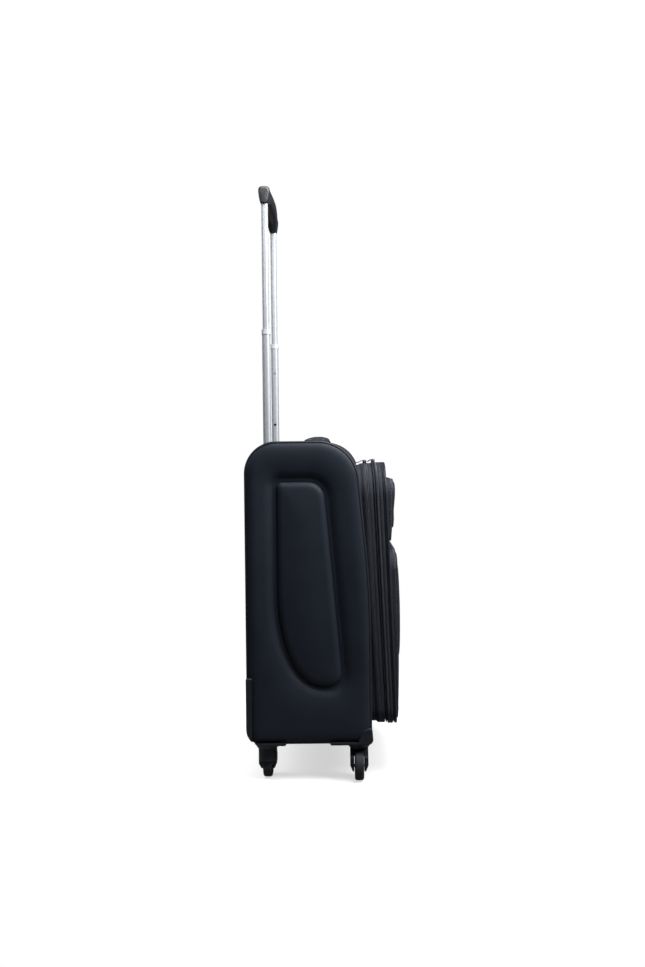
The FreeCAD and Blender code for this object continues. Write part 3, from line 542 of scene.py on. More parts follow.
def side_panel(side, name):
    """Moulded foam side: rolled rim, pressed relief with a stepped bottom, raised pillow."""
    rim = [outline(CASE_OUTLINE, inset) for inset in (0.0, 0.4, 1.2, 2.5, 4.5, 7, 10, 14, 19)]
    relief = [shield(t) for t in (*range(-12, 5, 2), 5.5, 6.5, 7, 7.5, 8.5, 10, 12, 14, 16, 18.5,
                                  22, 27)]
    directions = directions_through([outline(CASE_OUTLINE), SHIELD], SIDE_MIDDLE, 190)
    rows = ray_rows(rim + relief, SIDE_MIDDLE, directions)
    gap = len(rim)
    between = [rows[gap - 1] * (1 - s) + rows[gap] * s for s in (0.25, 0.5, 0.75)]
    rows = rows[:gap] + between + rows[gap:]
    rows += [SIDE_MIDDLE + (rows[-1] - SIDE_MIDDLE) * s for s in (0.8, 0.6, 0.4, 0.2, 0.08)]
    solid = [[(side * h, y, z) for h, (y, z) in zip(side_height(row), row)] for row in rows]
    back = [(side * (BAND_HALF + 0.4), y, z) for y, z in rows[0]]
    build = Build()
    build.grid([back] + solid, flip=side < 0)
    build.cap(solid[-1], (side * side_height(SIDE_MIDDLE[None])[0], *SIDE_MIDDLE), flip=side < 0)
    piece = build.finish("moulded_side_" + name, [SIDE_FABRIC], weld=0.05)
    place(piece, "case", "body_fabric", "side_panel_" + name)


side_panel(-1, "left")
side_panel(1, "right")


def case_piping():
    """Corded seam all around each side, with a stitched lip on the band."""
    build = Build()
    for side in (-1, 1):
        for proud, past, radius, sides, slot in ((0.2, 2.6, 2.3, 10, 0), (0.6, -1.6, 0.9, 6, 1)):
            tube(build, [(side * (BAND_HALF + past), y, z)
                         for y, z in even(outline(CASE_OUTLINE, -proud), 520)],
                 radius, sides, slot=slot)
    place(build.finish("case_piping", [PIPING, WEAVE]), "case", "piping", "side_piping")


case_piping()


# ---- fabric band of the case
def band_point(y, z, normal, x, crown):
    """A point of the band at x, standing proud of the side outline by its crown."""
    rise = crown * (1 - abs(x / BAND_HALF) ** 2.4)
    slack = 0.5 * ripple((x, y * 1.4, z * 1.4), 55, 3.0)
    rise += slack * soften(BAND_HALF - abs(x), 4, 30)
    return (x, y + normal[0] * rise, z + normal[1] * rise)


def crown_of(y, z):
    """How far the band bulges at mid-width at a point of the side outline."""
    top = soften(z, 440, 545)
    front = soften(-y, 0, 48)
    return 1.0 + top * (3.2 + 4.8 * front) - soften(150 - z, 0, 60) * 0.7


def band_piece(name, node, inside, hole=None):
    """The stretch of the band whose outline points are inside, as one stretched panel."""
    loop = even(outline(CASE_OUTLINE), 760)
    normal = outward(loop)
    chosen = in_order([i for i, p in enumerate(loop) if inside(*p)])
    edge = round(TRAY_HIGH[0] - TRAY_FLANGE, 3)
    across = sorted(set(np.linspace(-BAND_HALF, BAND_HALF, 73).round(3)) | {-edge, edge})
    rows = [[band_point(*loop[i], normal[i], x, crown_of(*loop[i])) for x in across]
            for i in chosen]

    def keep(i, j):
        y, z = (loop[chosen[i]] + loop[chosen[i + 1]]) / 2
        return not (hole and hole((across[j] + across[j + 1]) / 2, y, z))

    piece = Build().grid(rows, close_across=False, keep=keep).finish(name, [WEAVE])
    place(piece, "case", "weave", node)


def in_lid(x, z, inset):
    """True where (x, z) is inside the lid's outline drawn in by inset."""
    half, low, high = LID_HALF - inset, LID_BOTTOM + inset, LID_TOP - inset
    radius = (LID_RADIUS if z > (low + high) / 2 else LID_LOW_RADIUS) - inset
    if not (abs(x) < half and low < z < high):
        return False
    dx, dz = abs(x) - (half - radius), abs(z - (low + high) / 2) - ((high - low) / 2 - radius)
    return not (dx > 0 and dz > 0 and math.hypot(dx, dz) > radius)


def mouth(x, y, z):
    """True in the case's opening, which the lid covers."""
    return y < 0 and in_lid(x, z, 2.5)


def top_hole(x, y, z):
    """True in the tow handle's tray or in the opening."""
    tray = (abs(x) < TRAY_HIGH[0] - TRAY_FLANGE and z > BODY_TOP / 2
            and TRAY_LOW[1] + TRAY_FLANGE < y < TRAY_HIGH[1] - TRAY_FLANGE)
    return tray or mouth(x, y, z)


TOP_SEAM, FRONT_SEAM, LOW_SEAM, BEHIND = 495, 486, 90, 20
band_piece("top_panel", "top_gusset",
           lambda y, z: z > (TOP_SEAM if y > BEHIND else FRONT_SEAM), top_hole)
band_piece("back_cloth", "back_panel",
           lambda y, z: y > BEHIND and LOW_SEAM <= z <= TOP_SEAM + 0.5)
band_piece("bottom_cloth", "bottom_gusset", lambda y, z: z <= LOW_SEAM + 0.5)
band_piece("front_cloth", "front_frame",
           lambda y, z: y < BEHIND and LOW_SEAM <= z <= FRONT_SEAM + 0.5, mouth)


def seam_welts():
    """Raised welts where the band's panels are sewn to each other on the back."""
    build = Build()
    loop = even(outline(CASE_OUTLINE), 760)
    normal = outward(loop)
    behind = [i for i in range(len(loop)) if loop[i][0] > BEHIND]
    for seam in (TOP_SEAM, LOW_SEAM):
        i = min(behind, key=lambda k: abs(loop[k][1] - seam))
        crown = crown_of(*loop[i]) + 0.3
        tube(build, [band_point(*loop[i], normal[i], x, crown)
                     for x in np.linspace(-BAND_HALF + 3, BAND_HALF - 3, 90)], 1.1, closed=False)
    place(build.finish("back_welts", [PIPING]), "case", "piping")


seam_welts()


# ---- lid: rings of fabric and zips
def lid_loop(count, inset=0.0):
    """Points around the lid's outline, drawn in by inset, and their normals."""
    radii = (LID_LOW_RADIUS, LID_LOW_RADIUS, LID_RADIUS, LID_RADIUS)
    box = rounded_box((-LID_HALF, LID_BOTTOM), (LID_HALF, LID_TOP), radii, inset)
    loop = even(box, count)
    return loop, outward(loop)


def lid_y(share, z):
    """Y at a share of the lid's thickness, from the rear plane to the front one."""
    rise = (z - LID_BOTTOM) / (LID_TOP - LID_BOTTOM)
    rear = LID_REAR[0] + (LID_REAR[1] - LID_REAR[0]) * rise
    front = LID_FRONT[0] + (LID_FRONT[1] - LID_FRONT[0]) * rise
    return rear + (front - rear) * share


def front_face_y(z):
    """Y of the case's front wall at a height."""
    points = outline(CASE_OUTLINE)
    ahead = points[points[:, 0] < 0]
    order = np.argsort(ahead[:, 1])
    return float(np.interp(z, ahead[order, 1], ahead[order, 0]))


ON_CASE = -1.0  # the share of a strip's edge that lies on the case's front


def lid_strip(build, profile, seed, wave=0.35):
    """A strip around the lid whose cross-section is a list of (share, offset)."""
    loop, normal = lid_loop(420)
    rows = []
    for share, offset in profile:
        row = []
        for (x, z), (nx, nz) in zip(loop, normal):
            out = offset + wave * ripple((x, share * 40, z), 34, seed)
            y = front_face_y(z) + 1.5 if share == ON_CASE else lid_y(share, z)
            row.append((x + nx * out, y, z + nz * out))
        rows.append(row)
    build.grid(rows)


ZIP_PITCH, COIL_ARCH = 2.3, [math.pi * k / 6 for k in range(7)]
TOOTH = (0.25, 1.0, 1.0, 0.25)  # height of the coil over one tooth and the gap after it


def toothed(make_loop):
    """The loop that make_loop(count) gives and its normals, with four points to a tooth."""
    loop, _ = make_loop(3600)
    run = np.linalg.norm(loop - np.roll(loop, 1, axis=0), axis=1).sum()
    return make_loop(int(run / ZIP_PITCH) * len(TOOTH))


def coil_row(loop, normal, chosen, a, y_at, width, height, offset=0.0):
    """Points at one angle of a coil's arch, along the chosen points of a toothed loop."""
    row = []
    for i in chosen:
        (x, z), (nx, nz) = loop[i], normal[i]
        out = offset + height * math.sin(a) * TOOTH[i % len(TOOTH)]
        row.append((x + nx * out, y_at(z) + math.cos(a) * width / 2, z + nz * out))
    return row


def lid_ring(name, body, slot, node, seed, profiles, coil=None):
    """A ring of fabric around the lid with these cross-sections, and the zip's coil along it
    as (share, offset, width, height)."""
    build = Build()
    for profile in profiles:
        lid_strip(build, profile, seed)
    if coil:
        share, offset, width, height = coil
        loop, normal = toothed(lid_loop)
        build.grid([coil_row(loop, normal, range(len(loop)), a, lambda z: lid_y(share, z), width,
                             height, offset) for a in COIL_ARCH], slot=1, flip=True)
    place(build.finish(name, [WEAVE, COIL] if coil else [WEAVE]), body, slot, node)


def lid_front_piping():
    """Corded edge around the lid's front."""
    build, sunk = Build(), 0.2
    tube(build, [(x - nx * sunk, lid_y(0.965, z), z - nz * sunk)
                 for (x, z), (nx, nz) in zip(*lid_loop(480))], 2.1, 10)
    place(build.finish("lid_front_piping", [PIPING]), "lid_front", "piping", "lid_piping")


def lid_board():
    """Front of the lid: fabric over a board, slightly crowned, with a sewn margin."""
    rows = []
    for inset in (0.8, 1.6, 3, 5, 6.5, 7.5, 9, 12, 18, 30, 50, 80, 110, 140):
        dome = 1.8 * soften(inset, 0, 70) - 0.9 * math.exp(-(inset - 6.5) ** 2)
        rows.append([(x, lid_y(1.0, z) - dome + 0.7 - 0.35 * ripple((x, 0, z), 42, 5.0), z)
                     for x, z in lid_loop(360, inset)[0]])
    build = Build().grid(rows, flip=True)
    build.cap(rows[-1], (0, lid_y(1.0, LID_MIDDLE) - 1.1, LID_MIDDLE), flip=True)
    place(build.finish("lid_face", [WEAVE]), "lid_front", "weave", "lid_panel")


# rear half of the main zip, sewn to the case's front
lid_ring("main_zip_rear", "case", "zip", "body_zip_tape", 1.0, [[
    (ON_CASE, -2.6), (-0.12, -2.6), (-0.06, -2.4), (-0.02, -1.2), (0.02, -0.3), (0.07, 0.1),
    (0.11, 0.1), (0.135, -0.3), (0.168, -0.9), (0.168, -3.4), (-0.1, -3.6), (ON_CASE, -3.6)]],
         coil=(0.145, -0.5, 2.0, 1.0))
# the lid's rear wall: front half of the main zip, fabric, then a rolled hem
lid_ring("lid_rear_wall", "lid_ring", "weave", "lid_gusset", 2.0, [[
    (0.192, -3.4), (0.192, -0.9), (0.215, -0.4), (0.235, 0.0), (0.28, 0.4), (0.33, 0.45),
    (0.37, 0.1), (0.395, -0.8), (0.412, -2.2), (0.412, -3.6), (0.192, -3.6)]],
         coil=(0.208, -0.5, 2.0, 1.0))
# the lid's front wall, behind the expansion zip and in front of it
lid_ring("lid_front_wall", "lid_front", "weave", "lid_band", 3.0, [[
    (0.436, -3.6), (0.436, -2.2), (0.45, -0.6), (0.462, 0.5), (0.485, 0.6), (0.498, -0.2),
    (0.508, -2.0), (0.52, -2.0), (0.53, -0.4), (0.545, 0.6)], [
    (0.66, 1.0), (0.70, 1.6), (0.75, 1.8), (0.79, 1.5), (0.82, 0.4), (0.838, -1.4),
    (0.852, -1.4), (0.87, 0.2), (0.9, 0.6), (0.935, 0.2), (0.945, -3.0)]])
# the zip that lets the lid's front half out
lid_ring("expansion_zip", "lid_front", "zip", "expansion_zipper", 3.0, [[
    (0.54, -1.0), (0.545, 0.6), (0.56, 0.9), (0.58, 0.8), (0.60, 0.3), (0.62, 0.8), (0.64, 1.0),
    (0.665, 1.0), (0.67, -1.0)]], coil=(0.60, 0.3, 4.2, 1.5))
lid_front_piping()
lid_board()


# ---- pockets on the lid
class Pocket:
    """A zipped pocket: half width, bottom, top, top corner radius, and how far forward its
    front reaches at the bottom, the belly and the top."""

    def __init__(self, name, half, low, high, radius, reach):
        self.name, self.half, self.low, self.high, self.radius = name, half, low, high, radius
        self.reach = reach

    def loop(self, count, inset=0.0):
        """Points around the pocket's outline, drawn in by inset, and their normals."""
        radii = (6, 6, self.radius, self.radius)
        box = rounded_box((-self.half, self.low), (self.half, self.high), radii, inset, 1.5)
        loop = even(box, count)
        return loop, outward(loop)

    def front(self, z):
        """Y of the pocket's front at a height."""
        t = (z - self.low) / (self.high - self.low)
        low, belly, high = self.reach
        return low * (1 - t) * (1 - 2 * t) + 4 * belly * t * (1 - t) + high * t * (2 * t - 1)

    def y(self, share, z):
        """Y at a share of the pocket's depth, from the lid's face to its front."""
        base = lid_y(1.0, z)
        return base + (self.front(z) - base) * share

    def row(self, count, inset, share, out=0.0, loose=0.0):
        """Points around the pocket at a share of its depth; loose ruffles them."""
        made = []
        for (x, z), (nx, nz) in zip(*self.loop(count, inset)):
            give = out + loose * ripple((x, share * 30, z), 26, self.low)
            y = self.y(share, z) + loose * 0.4 * ripple((x, 9, z), 40)
            made.append((x + nx * give, y, z + nz * give))
        return made


UPPER = Pocket("upper_pocket", 128, 385, 488, 24, (-114.5, -120.5, -123.0))
LOWER = Pocket("lower_pocket", 138, 92, 370, 34, (-121.5, -126.8, -124.2))
POCKET_SEAM = 0.55  # share of the pocket's depth at which its zip stands


def pocket_wall(pocket):
    """Side wall of a pocket with a binding at the lid and a zip at the front."""
    rows = [pocket.row(420, inset, share, out, loose) for inset, share, out, loose in (
        (-1.6, -0.05, 0, 0), (-1.8, 0.05, 0, 0), (-0.8, 0.12, 0, 0), (0, 0.16, 0, 0.35),
        (0, 0.28, 0.6, 0.35), (0, 0.4, 0.5, 0.35), (0, 0.47, 0, 0.35), (0.6, 0.5, 0, 0),
        (0.6, 0.56, 0, 0))]
    piece = Build().grid(rows, flip=True).finish(pocket.name + "_wall", [WEAVE])
    place(piece, "lid_front", "weave", pocket.name + "_gusset")


def pocket_zip(pocket):
    """Zip teeth over the pocket's top and down both of its sides."""
    loop, normal = toothed(lambda count: pocket.loop(count, 0.4))
    chosen = in_order([i for i in range(len(loop)) if loop[i][1] > pocket.low + 9])
    rows = [coil_row(loop, normal, chosen, a, lambda z: pocket.y(POCKET_SEAM, z), 4.0, 1.3)
            for a in COIL_ARCH]
    piece = Build().grid(rows, close_across=False, flip=True).finish(pocket.name + "_zip", [COIL])
    place(piece, "lid_front", "zip")


def coordinates(mesh):
    co = np.zeros(len(mesh.vertices) * 3)
    mesh.vertices.foreach_get("co", co)
    return co.reshape(-1, 3)


def puff(piece, held, pressure=4.0, reach=2.4, voxel=4.5, frames=20):
    """Fill a closed piece like a cushion: cloth under pressure, held where held(point) says so,
    and no point moved by more than reach."""
    remesh = piece.modifiers.new("remesh", "REMESH")
    remesh.mode, remesh.voxel_size, remesh.use_smooth_shade = "VOXEL", voxel * MM, True
    relax = piece.modifiers.new("relax", "SMOOTH")
    relax.factor, relax.iterations = 0.5, 5
    depsgraph = bpy.context.evaluated_depsgraph_get()
    mesh = bpy.data.meshes.new_from_object(piece.evaluated_get(depsgraph))
    piece.modifiers.clear()
    piece.data = mesh
    start = coordinates(piece.data)
    fixed = piece.vertex_groups.new(name="held")
    fixed.add([i for i, p in enumerate(start) if held(p / MM)], 1.0, "REPLACE")
    cloth = piece.modifiers.new("cloth", "CLOTH")
    cloth.settings.use_pressure = True
    cloth.settings.uniform_pressure_force = pressure
    cloth.settings.effector_weights.gravity = 0
    cloth.settings.vertex_group_mass = "held"
    cloth.settings.bending_stiffness = 1.5
    cloth.point_cache.frame_start, cloth.point_cache.frame_end = 1, frames
    for step in range(1, frames + 1):
        SCENE.frame_set(step)
    depsgraph = bpy.context.evaluated_depsgraph_get()
    moved = coordinates(piece.evaluated_get(depsgraph).data) - start
    piece.modifiers.clear()
    piece.vertex_groups.clear()
    size = np.linalg.norm(moved, axis=1)[:, None]
    allowed = reach * MM * np.tanh(size / (reach * MM)) / np.maximum(size, 1e-9)
    piece.data.vertices.foreach_set("co", (start + moved * allowed).ravel())
    piece.data.polygons.foreach_set("use_smooth", [True] * len(piece.data.polygons))
    SCENE.frame_set(1)
    finer = piece.modifiers.new("finer", "SUBSURF")
    finer.levels = finer.render_levels = 1


def pocket_front(pocket):
    """Padded front of a pocket, swollen a little by what is in it."""
    edge, face = POCKET_SEAM + 0.02, 0.985
    rows = [pocket.row(300, inset, share) for inset, share in (
        (3, edge), (1.4, POCKET_SEAM + 0.04), (1, 0.66), (1.4, 0.8), (2.8, 0.9), (5, 0.96),
        (9, face), (16, face), (26, face), (38, face), (46, face))]
    middle = (pocket.low + pocket.high) / 2
    build = Build().grid(rows, flip=True)
    build.cap(rows[-1], (0, pocket.y(face, middle), middle), flip=True)
    build.cap(rows[0], (0, pocket.y(edge, middle), middle))
    piece = build.finish(pocket.name + "_front", [WEAVE], recalc=True)
    puff(piece, lambda p: p[1] > pocket.y(0.8, p[2]))
    place(piece, "lid_front", "weave", pocket.name + "_panel")


def pocket_piping(pocket):
    """Piping around the pocket's front."""
    build = Build()
    tube(build, pocket.row(360, 1.2, 0.7, 0.3), 1.3)
    place(build.finish(pocket.name + "_piping", [PIPING]), "lid_front", "piping")


for pocket, fill in ((UPPER, 0.5), (LOWER, 0.6)):
    pocket_wall(pocket)
    pocket_zip(pocket)
    pocket_front(pocket)
    pocket_piping(pocket)


# ---- carry handle
STRAP_LOW, STRAP_HIGH = extent("carry_handle")
STRAP_MIDDLE = (STRAP_LOW[1] + STRAP_HIGH[1]) / 2
STRAP_HALF = STRAP_HIGH[0]


def strap_section(x):
    """One ring of points around the carry handle at x: broad and flat below, domed above."""
    t = abs(x) / STRAP_HALF
    width = 21.5 - 2.5 * soften(1 - t, 0, 0.5)
    base = BODY_TOP + crown_of(STRAP_MIDDLE, BODY_TOP) * (1 - abs(x / BAND_HALF) ** 2.4) + 0.6
    top = STRAP_HIGH[2] - 0.3 - 6.6 * t ** 2.2
    half = max((top - base) / 2, 1.4)
    centre = base + half
    ring = []
    for a in turns(28):
        narrow = 1 - 0.38 * max(math.sin(a), 0) ** 1.2
        y = STRAP_MIDDLE + width * narrow * boxy(math.cos(a), 0.75)
        ring.append((x, y, centre + half * boxy(math.sin(a), 0.8) + 0.25 * ripple((x, y, 7), 14)))
    return ring


def carry_half(side, name):
    """One half of the padded strap, with piping along both of its edges."""
    steps, piped = 46, 43
    at = [side * STRAP_HALF * k / steps for k in range(steps + 1)]
    rows = [np.array(strap_section(x)) for x in at]
    build = Build().grid(rows, flip=side > 0)
    build.cap(rows[-1], np.mean(rows[-1], axis=0), flip=side > 0)
    for furthest in (np.max, np.min):
        tube(build, [(x, STRAP_MIDDLE + (furthest(ring[:, 1]) - STRAP_MIDDLE) * 0.97,
                      ring[:, 2].mean() - 0.6) for x, ring in zip(at[:piped], rows)],
             1.0, closed=False, slot=1)
    piece = build.finish("carry_strap_" + name, [WEAVE, PIPING])
    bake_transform(piece)
    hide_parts("carry_handle")


carry_half(-1, "left")
carry_half(1, "right")


# ---- inside: lining and the expansion bellows
LINING_BACK, LINING_INSET, LINING_HALF = 80.4, 5.4, 163.6


def lining_point(x, y, z):
    """A point of the lining, kept in front of the tow handle's tubes and tray."""
    back = LINING_BACK - 5.4 * soften(z, 496, 508)
    slack = 0.9 * ripple((x, y, z), 48, 9.0) * soften(LINING_HALF - abs(x), 0, 20)
    return (x, min(y, back) - abs(slack) * (y > back), max(z, BODY_BOTTOM + 7.4))


def lining_bag():
    """Thin lining on five sides of the compartment, with its front open for the lid."""
    build = Build()
    loop = even(outline(CASE_OUTLINE, LINING_INSET), 480)
    across = np.linspace(-LINING_HALF, LINING_HALF, 66)

    def keep(i, j):
        y, z = loop[i]
        return not (y < 0 and in_lid((across[j] + across[j + 1]) / 2, z, 7.0))

    build.grid([[lining_point(x, y, z) for x in across] for y, z in loop],
               close_across=False, close_along=True, keep=keep)
    centre = np.array((5.0, 300.0))
    turns = directions_through([loop], centre, 160)
    clipped = np.array([lining_point(LINING_HALF, y, z)[1:] for y, z in loop])
    rim = ray_rows([clipped], centre, turns)[0]
    for side in (-1, 1):
        rows = []
        for s in (1.0, 0.99, 0.9, 0.75, 0.5, 0.25, 0.05):
            row = []
            for y, z in centre + (rim - centre) * s:
                belly = 1.6 * (1 - s) + 0.6 * ripple((side * 9, y, z), 52) * soften(1 - s, 0, 0.2)
                row.append((side * (LINING_HALF - max(belly, 0)), y, z))
            rows.append(row)
        build.grid(rows, flip=side > 0)
        build.cap(rows[-1], (side * (LINING_HALF - 1.6), *centre), flip=side > 0)
    place(build.finish("lining_bag", [LINING]), "case", "lining", "lining")


def expansion_bellows():
    """Gathered fabric behind the expansion zip, in one fixed shape."""
    build = Build()
    lid_strip(build, [(0.26, -4.5), (0.30, -4.6), (0.36, -7.5), (0.42, -10.5), (0.46, -8.0),
                      (0.50, -5.0), (0.54, -8.0), (0.60, -10.5), (0.68, -8.0), (0.76, -5.4),
                      (0.84, -4.8)], seed=7.0, wave=0.5)
    piece = build.finish("expansion_bellows", [LINING])
    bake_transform(piece)
    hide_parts("expansion_gusset")


lining_bag()
expansion_bellows()


def lid_lining():
    """Lining of the lid's inside, seen when the lid swings open."""
    rows = [[(x, lid_y(share, z) + 0.5 * ripple((x, 3, z), 44, 8.0), z)
             for x, z in lid_loop(300, inset)[0]]
            for inset, share in ((4.7, 0.25), (4.8, 0.5), (5, 0.8), (7, 0.9), (12, 0.915),
                                 (30, 0.91), (60, 0.9), (100, 0.895), (140, 0.895))]
    build = Build().grid(rows).cap(rows[-1], (0, lid_y(0.895, LID_MIDDLE), LID_MIDDLE))
    place(build.finish("lid_lining", [LINING]), "lid_front", "lining")


lid_lining()


# ---- hardware: strap caps and zip sliders
def strap_caps():
    """Moulded caps over the carry handle's ends, each with two rivets."""
    low, high = extent("handle_anchors")
    middle, reach = (low[1] + high[1]) / 2, (high[1] - low[1]) / 2
    start, end, top = STRAP_HALF + 0.6, high[0], high[2]
    build = Build()
    for side in (-1, 1):
        rows = []
        for inset, z in ((0, BODY_TOP - 2), (0, top - 3.4), (0.5, top - 2.3), (1.6, top - 1.3),
                         (4, top - 0.4), (7, top + 0.2), (10, top + 0.5)):
            loop = even(rounded_box((start, middle - reach), (end, middle + reach),
                                    (6, 8, 8, 6), inset, 1.0), 80)
            rows.append([(side * x, y, z - 1.6 * soften(x, end - 14, end)) for x, y in loop])
        build.grid(rows)
        centre = ((start + end) / 2 * side, middle, top + 0.6)
        build.cap(rows[-1], centre)
        for y in (middle - 11, middle + 11):
            rivet = [[(centre[0] + radius * math.cos(a), y + radius * math.sin(a), top - 0.3 + rise)
                      for a in turns(20)]
                     for radius, rise in ((2.7, -0.6), (2.7, 0.1), (2.2, 0.6), (1.2, 0.85))]
            build.grid(rivet, slot=1)
            build.cap(rivet[-1], (centre[0], y, top + 0.6), slot=1)
    piece = build.finish("strap_caps", [CAP, STEEL], recalc=True)
    place(piece, "case", "housing", "handle_anchors")


def zip_slider(node, along, up, pull, reach):
    """Slider on a zip: a waisted body, a bridge over it, and a looped pull with a solid end."""
    low, high = (np.array(v) for v in extent(node))
    along, up, pull = (np.array(v, float) for v in (along, up, pull))
    across, beside = np.cross(up, along), np.cross(up, pull)
    length, width, body, droop = 4.5, 4.0, 4.0, 3.2
    at = np.zeros(3)
    for axis, half in ((along, length), (across, width), (up, 0)):
        k = int(np.argmax(np.abs(axis)))
        at[k] = low[k] + half if pull[k] > 0 or half == 0 else high[k] - half
    rows = []
    for w, grow in ((0, 0.86), (0.3, 1), (1.3, 1), (1.6, 0.84), (2.3, 0.84), (2.6, 1), (3.5, 1),
                    (body, 0.8)):
        ring = []
        for a in turns(28):
            u = length * grow * boxy(math.cos(a), 0.7)
            v = width * grow * boxy(math.sin(a), 0.7) * (0.86 + 0.14 * u / length)
            ring.append(at + along * u + across * v + up * w)
        rows.append(ring)
    build = Build().grid(rows)
    build.cap(rows[0], at, flip=True)
    build.cap(rows[-1], at + up * body)
    tube(build, [at + pull * 3 * math.cos(a) + up * (3.8 + 1.8 * math.sin(a))
                 for a in np.linspace(0, math.pi, 15)], 0.6, closed=False)

    outer = even(rounded_box((-0.2, -3), (reach, 3), (1.6, 2.4, 2.4, 1.6), 0, 0.5), 64)
    inner = even(rounded_box((1.2, -1.7), (reach - 5, 1.7), (0.8,) * 4, 0, 0.5), 64)
    build.grid([[at + pull * p + beside * q + up * (w - droop * soften(p, 4.2, reach * 0.8))
                 for p, q in loop]
                for loop, w in ((outer * 0.98, 4.2), (outer, 4.4), (outer, 5.1),
                                (outer * 0.98, 5.4), (inner, 5.4), (inner, 4.2))],
               close_along=True)
    piece = build.finish(node.replace("slider", "zip_pull"), [SLIDER], recalc=True)
    place(piece, node, "slider", node)


def grip_shell():
    """Tow grip: a smooth bar, widest on top and in its middle, with a leg over each tube."""
    low, high = extent("grip_lower")[0], extent("grip_upper")[1]
    middle, bottom, top, reach = (low[1] + high[1]) / 2, low[2] - 0.8, high[2], high[0]
    wide, narrow, bulge, end_round, arch = 11.2, 7.0, 3.4, 8.0, 11.5
    across = np.concatenate([np.linspace(0, reach - end_round, 60),
                             reach - end_round * (1 - np.sin(np.linspace(0.1, math.pi / 2, 12)))])
    across = np.concatenate([-across[:0:-1], across])
    rows = []
    for x in across:
        past = max(abs(x) - (reach - end_round), 0) / end_round
        keep = math.sqrt(max(1 - past * past, 0.0))
        ceiling = top - end_round * 0.8 * (1 - keep)
        floor_z = bottom + arch * (1 - soften(abs(x), 58, 92)) + 2.5 * (1 - keep)
        centre, half = (ceiling + floor_z) / 2, (ceiling - floor_z) / 2
        ring = []
        for a in turns(44):
            z = centre + half * boxy(math.sin(a), 0.6)
            share = (z - bottom) / (top - bottom)
            width = (narrow + (wide - narrow) * share) * (0.8 + 0.2 * keep)
            width += bulge * share * (1 - soften(abs(x), 0, reach - 14))
            ring.append((x, middle + width * boxy(math.cos(a), 0.6), z))
        rows.append(ring)
    build = Build().grid(rows)
    build.cap(rows[0], np.mean(rows[0], axis=0), flip=True)
    build.cap(rows[-1], np.mean(rows[-1], axis=0))
    piece = build.finish("grip_shell", [GRIP], recalc=True)
    place(piece, "inner_stage", "grip", "grip_upper", "grip_lower")


grip_shell()
strap_caps()
ON_TOP, ON_SIDE = ((1, 0, 0), (0, 0, 1), (0, 1, 0)), ((0, 0, 1), (1, 0, 0), (0, 0, -1))
for node, facing, reach in (
        ("main_slider_left", ON_TOP, 15), ("main_slider_right", ON_TOP, 15),
        ("expansion_slider", ON_TOP, 10), ("upper_pocket_slider", ON_SIDE, 18),
        ("lower_pocket_slider", ON_SIDE, 18)):
    zip_slider(node, *facing, reach)


# ---- floor, light and camera
def floor():
    """Pale floor, half clear so that little light comes back up from it, and clear far away."""
    n = Nodes("pale_floor")
    x, y, _ = n.split(n.where)
    reach = n.math("SQRT", n.math("ADD", n.math("MULTIPLY", x, x), n.math("MULTIPLY", y, y)))
    fade = n.node("MapRange", Value=reach, From_Min=0.28, From_Max=0.75, To_Min=0.6)
    fade.interpolation_type = "SMOOTHSTEP"
    clear = n.node("BsdfTransparent")
    mix = n.node("MixShader")
    n.link(fade.outputs[0], mix.inputs[0])
    n.link(n.shader.outputs[0], mix.inputs[1])
    n.link(clear.outputs[0], mix.inputs[2])
    n.link(mix.outputs[0], n.tree.nodes["Material Output"].inputs["Surface"])
    n.tint(n.noise(200, 2), (0.42, 0.42, 0.425), (0.46, 0.46, 0.46))
    n.set(roughness=0.8, specular_ior_level=0.1)
    rings = [[(r * math.cos(a), r * math.sin(a), 0) for a in turns(64)] for r in (400, 1200, 3000)]
    build = Build().grid(rings, flip=True).cap(rings[0], (0, 0, 0))
    build.finish("floor", [n.material])


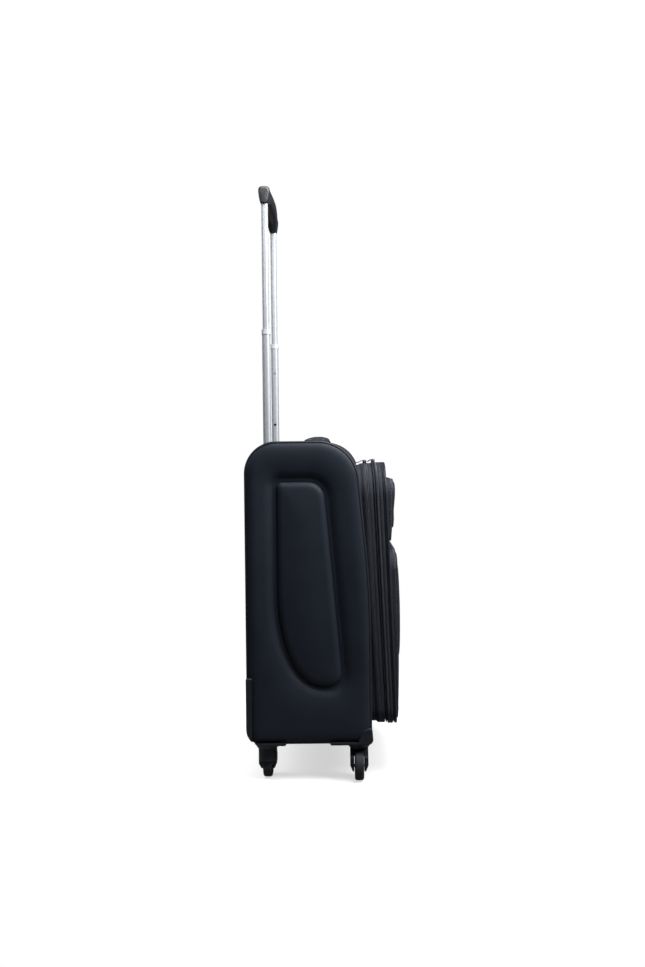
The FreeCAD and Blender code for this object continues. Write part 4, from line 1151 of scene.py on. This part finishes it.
def world():
    """White behind everything for the camera, and a faint cool light from all around."""
    made = bpy.data.worlds.new("studio")
    made.use_nodes = True
    tree = made.node_tree
    lit = tree.nodes["Background"]
    lit.inputs["Color"].default_value = (0.93, 0.95, 1.0, 1)
    lit.inputs["Strength"].default_value = 0.08
    seen = tree.nodes.new("ShaderNodeBackground")
    seen.inputs["Color"].default_value = (1, 1, 1, 1)
    rays = tree.nodes.new("ShaderNodeLightPath")
    mix = tree.nodes.new("ShaderNodeMixShader")
    tree.links.new(rays.outputs["Is Camera Ray"], mix.inputs[0])
    tree.links.new(lit.outputs[0], mix.inputs[1])
    tree.links.new(seen.outputs[0], mix.inputs[2])
    tree.links.new(mix.outputs[0], tree.nodes["World Output"].inputs["Surface"])
    SCENE.world = made


def softbox(name, where, aim, size, power, glossy=True):
    """A rectangular area light, placed and aimed in millimetres; a fill isn't mirrored."""
    light = bpy.data.lights.new(name, "AREA")
    light.shape, light.size, light.size_y = "RECTANGLE", size[0] * MM, size[1] * MM
    light.energy = power
    lamp = bpy.data.objects.new(name, light)
    lamp.location = Vector(where) * MM
    lamp.rotation_euler = (Vector(aim) - Vector(where)).to_track_quat("-Z", "Y").to_euler()
    lamp.visible_camera, lamp.visible_glossy = False, glossy
    SCENE.collection.objects.link(lamp)


def camera():
    """Level camera at the left side, with a small shift of its lens and a slight roll."""
    lens = bpy.data.cameras.new("camera")
    lens.sensor_width, lens.lens = 36.0, 34.65977
    lens.shift_x = lens.shift_y = -0.0201655
    lens.clip_start, lens.clip_end = 0.02, 100
    seen = bpy.data.objects.new("camera", lens)
    stand, roll = Vector((-1681, -33.7, 514.3)) * MM, math.radians(0.7)
    right, up, forward = Vector((0, -1, 0)), Vector((0, 0, 1)), Vector((1, 0, 0))
    turn = Matrix((right * math.cos(roll) - up * math.sin(roll),
                   up * math.cos(roll) + right * math.sin(roll), -forward))
    seen.matrix_world = Matrix.Translation(stand) @ turn.transposed().to_4x4()
    SCENE.collection.objects.link(seen)
    SCENE.camera = seen


floor()
world()
softbox("key", (-640, -1330, 1420), (0, 0, 450), (600, 600), 60)
softbox("near_top", (-440, -280, 1190), (-120, 0, 250), (600, 600), 34)
softbox("top", (-250, -50, 1900), (0, 0, 450), (800, 800), 25)
softbox("back_rim", (-300, 1600, 1300), (0, 50, 450), (700, 1000), 14)
softbox("back_fill", (650, 1500, 1450), (0, 120, 300), (900, 900), 66, glossy=False)
softbox("far_fill", (1400, 480, 1500), (150, 0, 260), (800, 800), 60, glossy=False)
softbox("front_rim", (-200, -1600, 1000), (0, -50, 400), (700, 900), 12)
camera()
SCENE.view_settings.view_transform = "Standard"
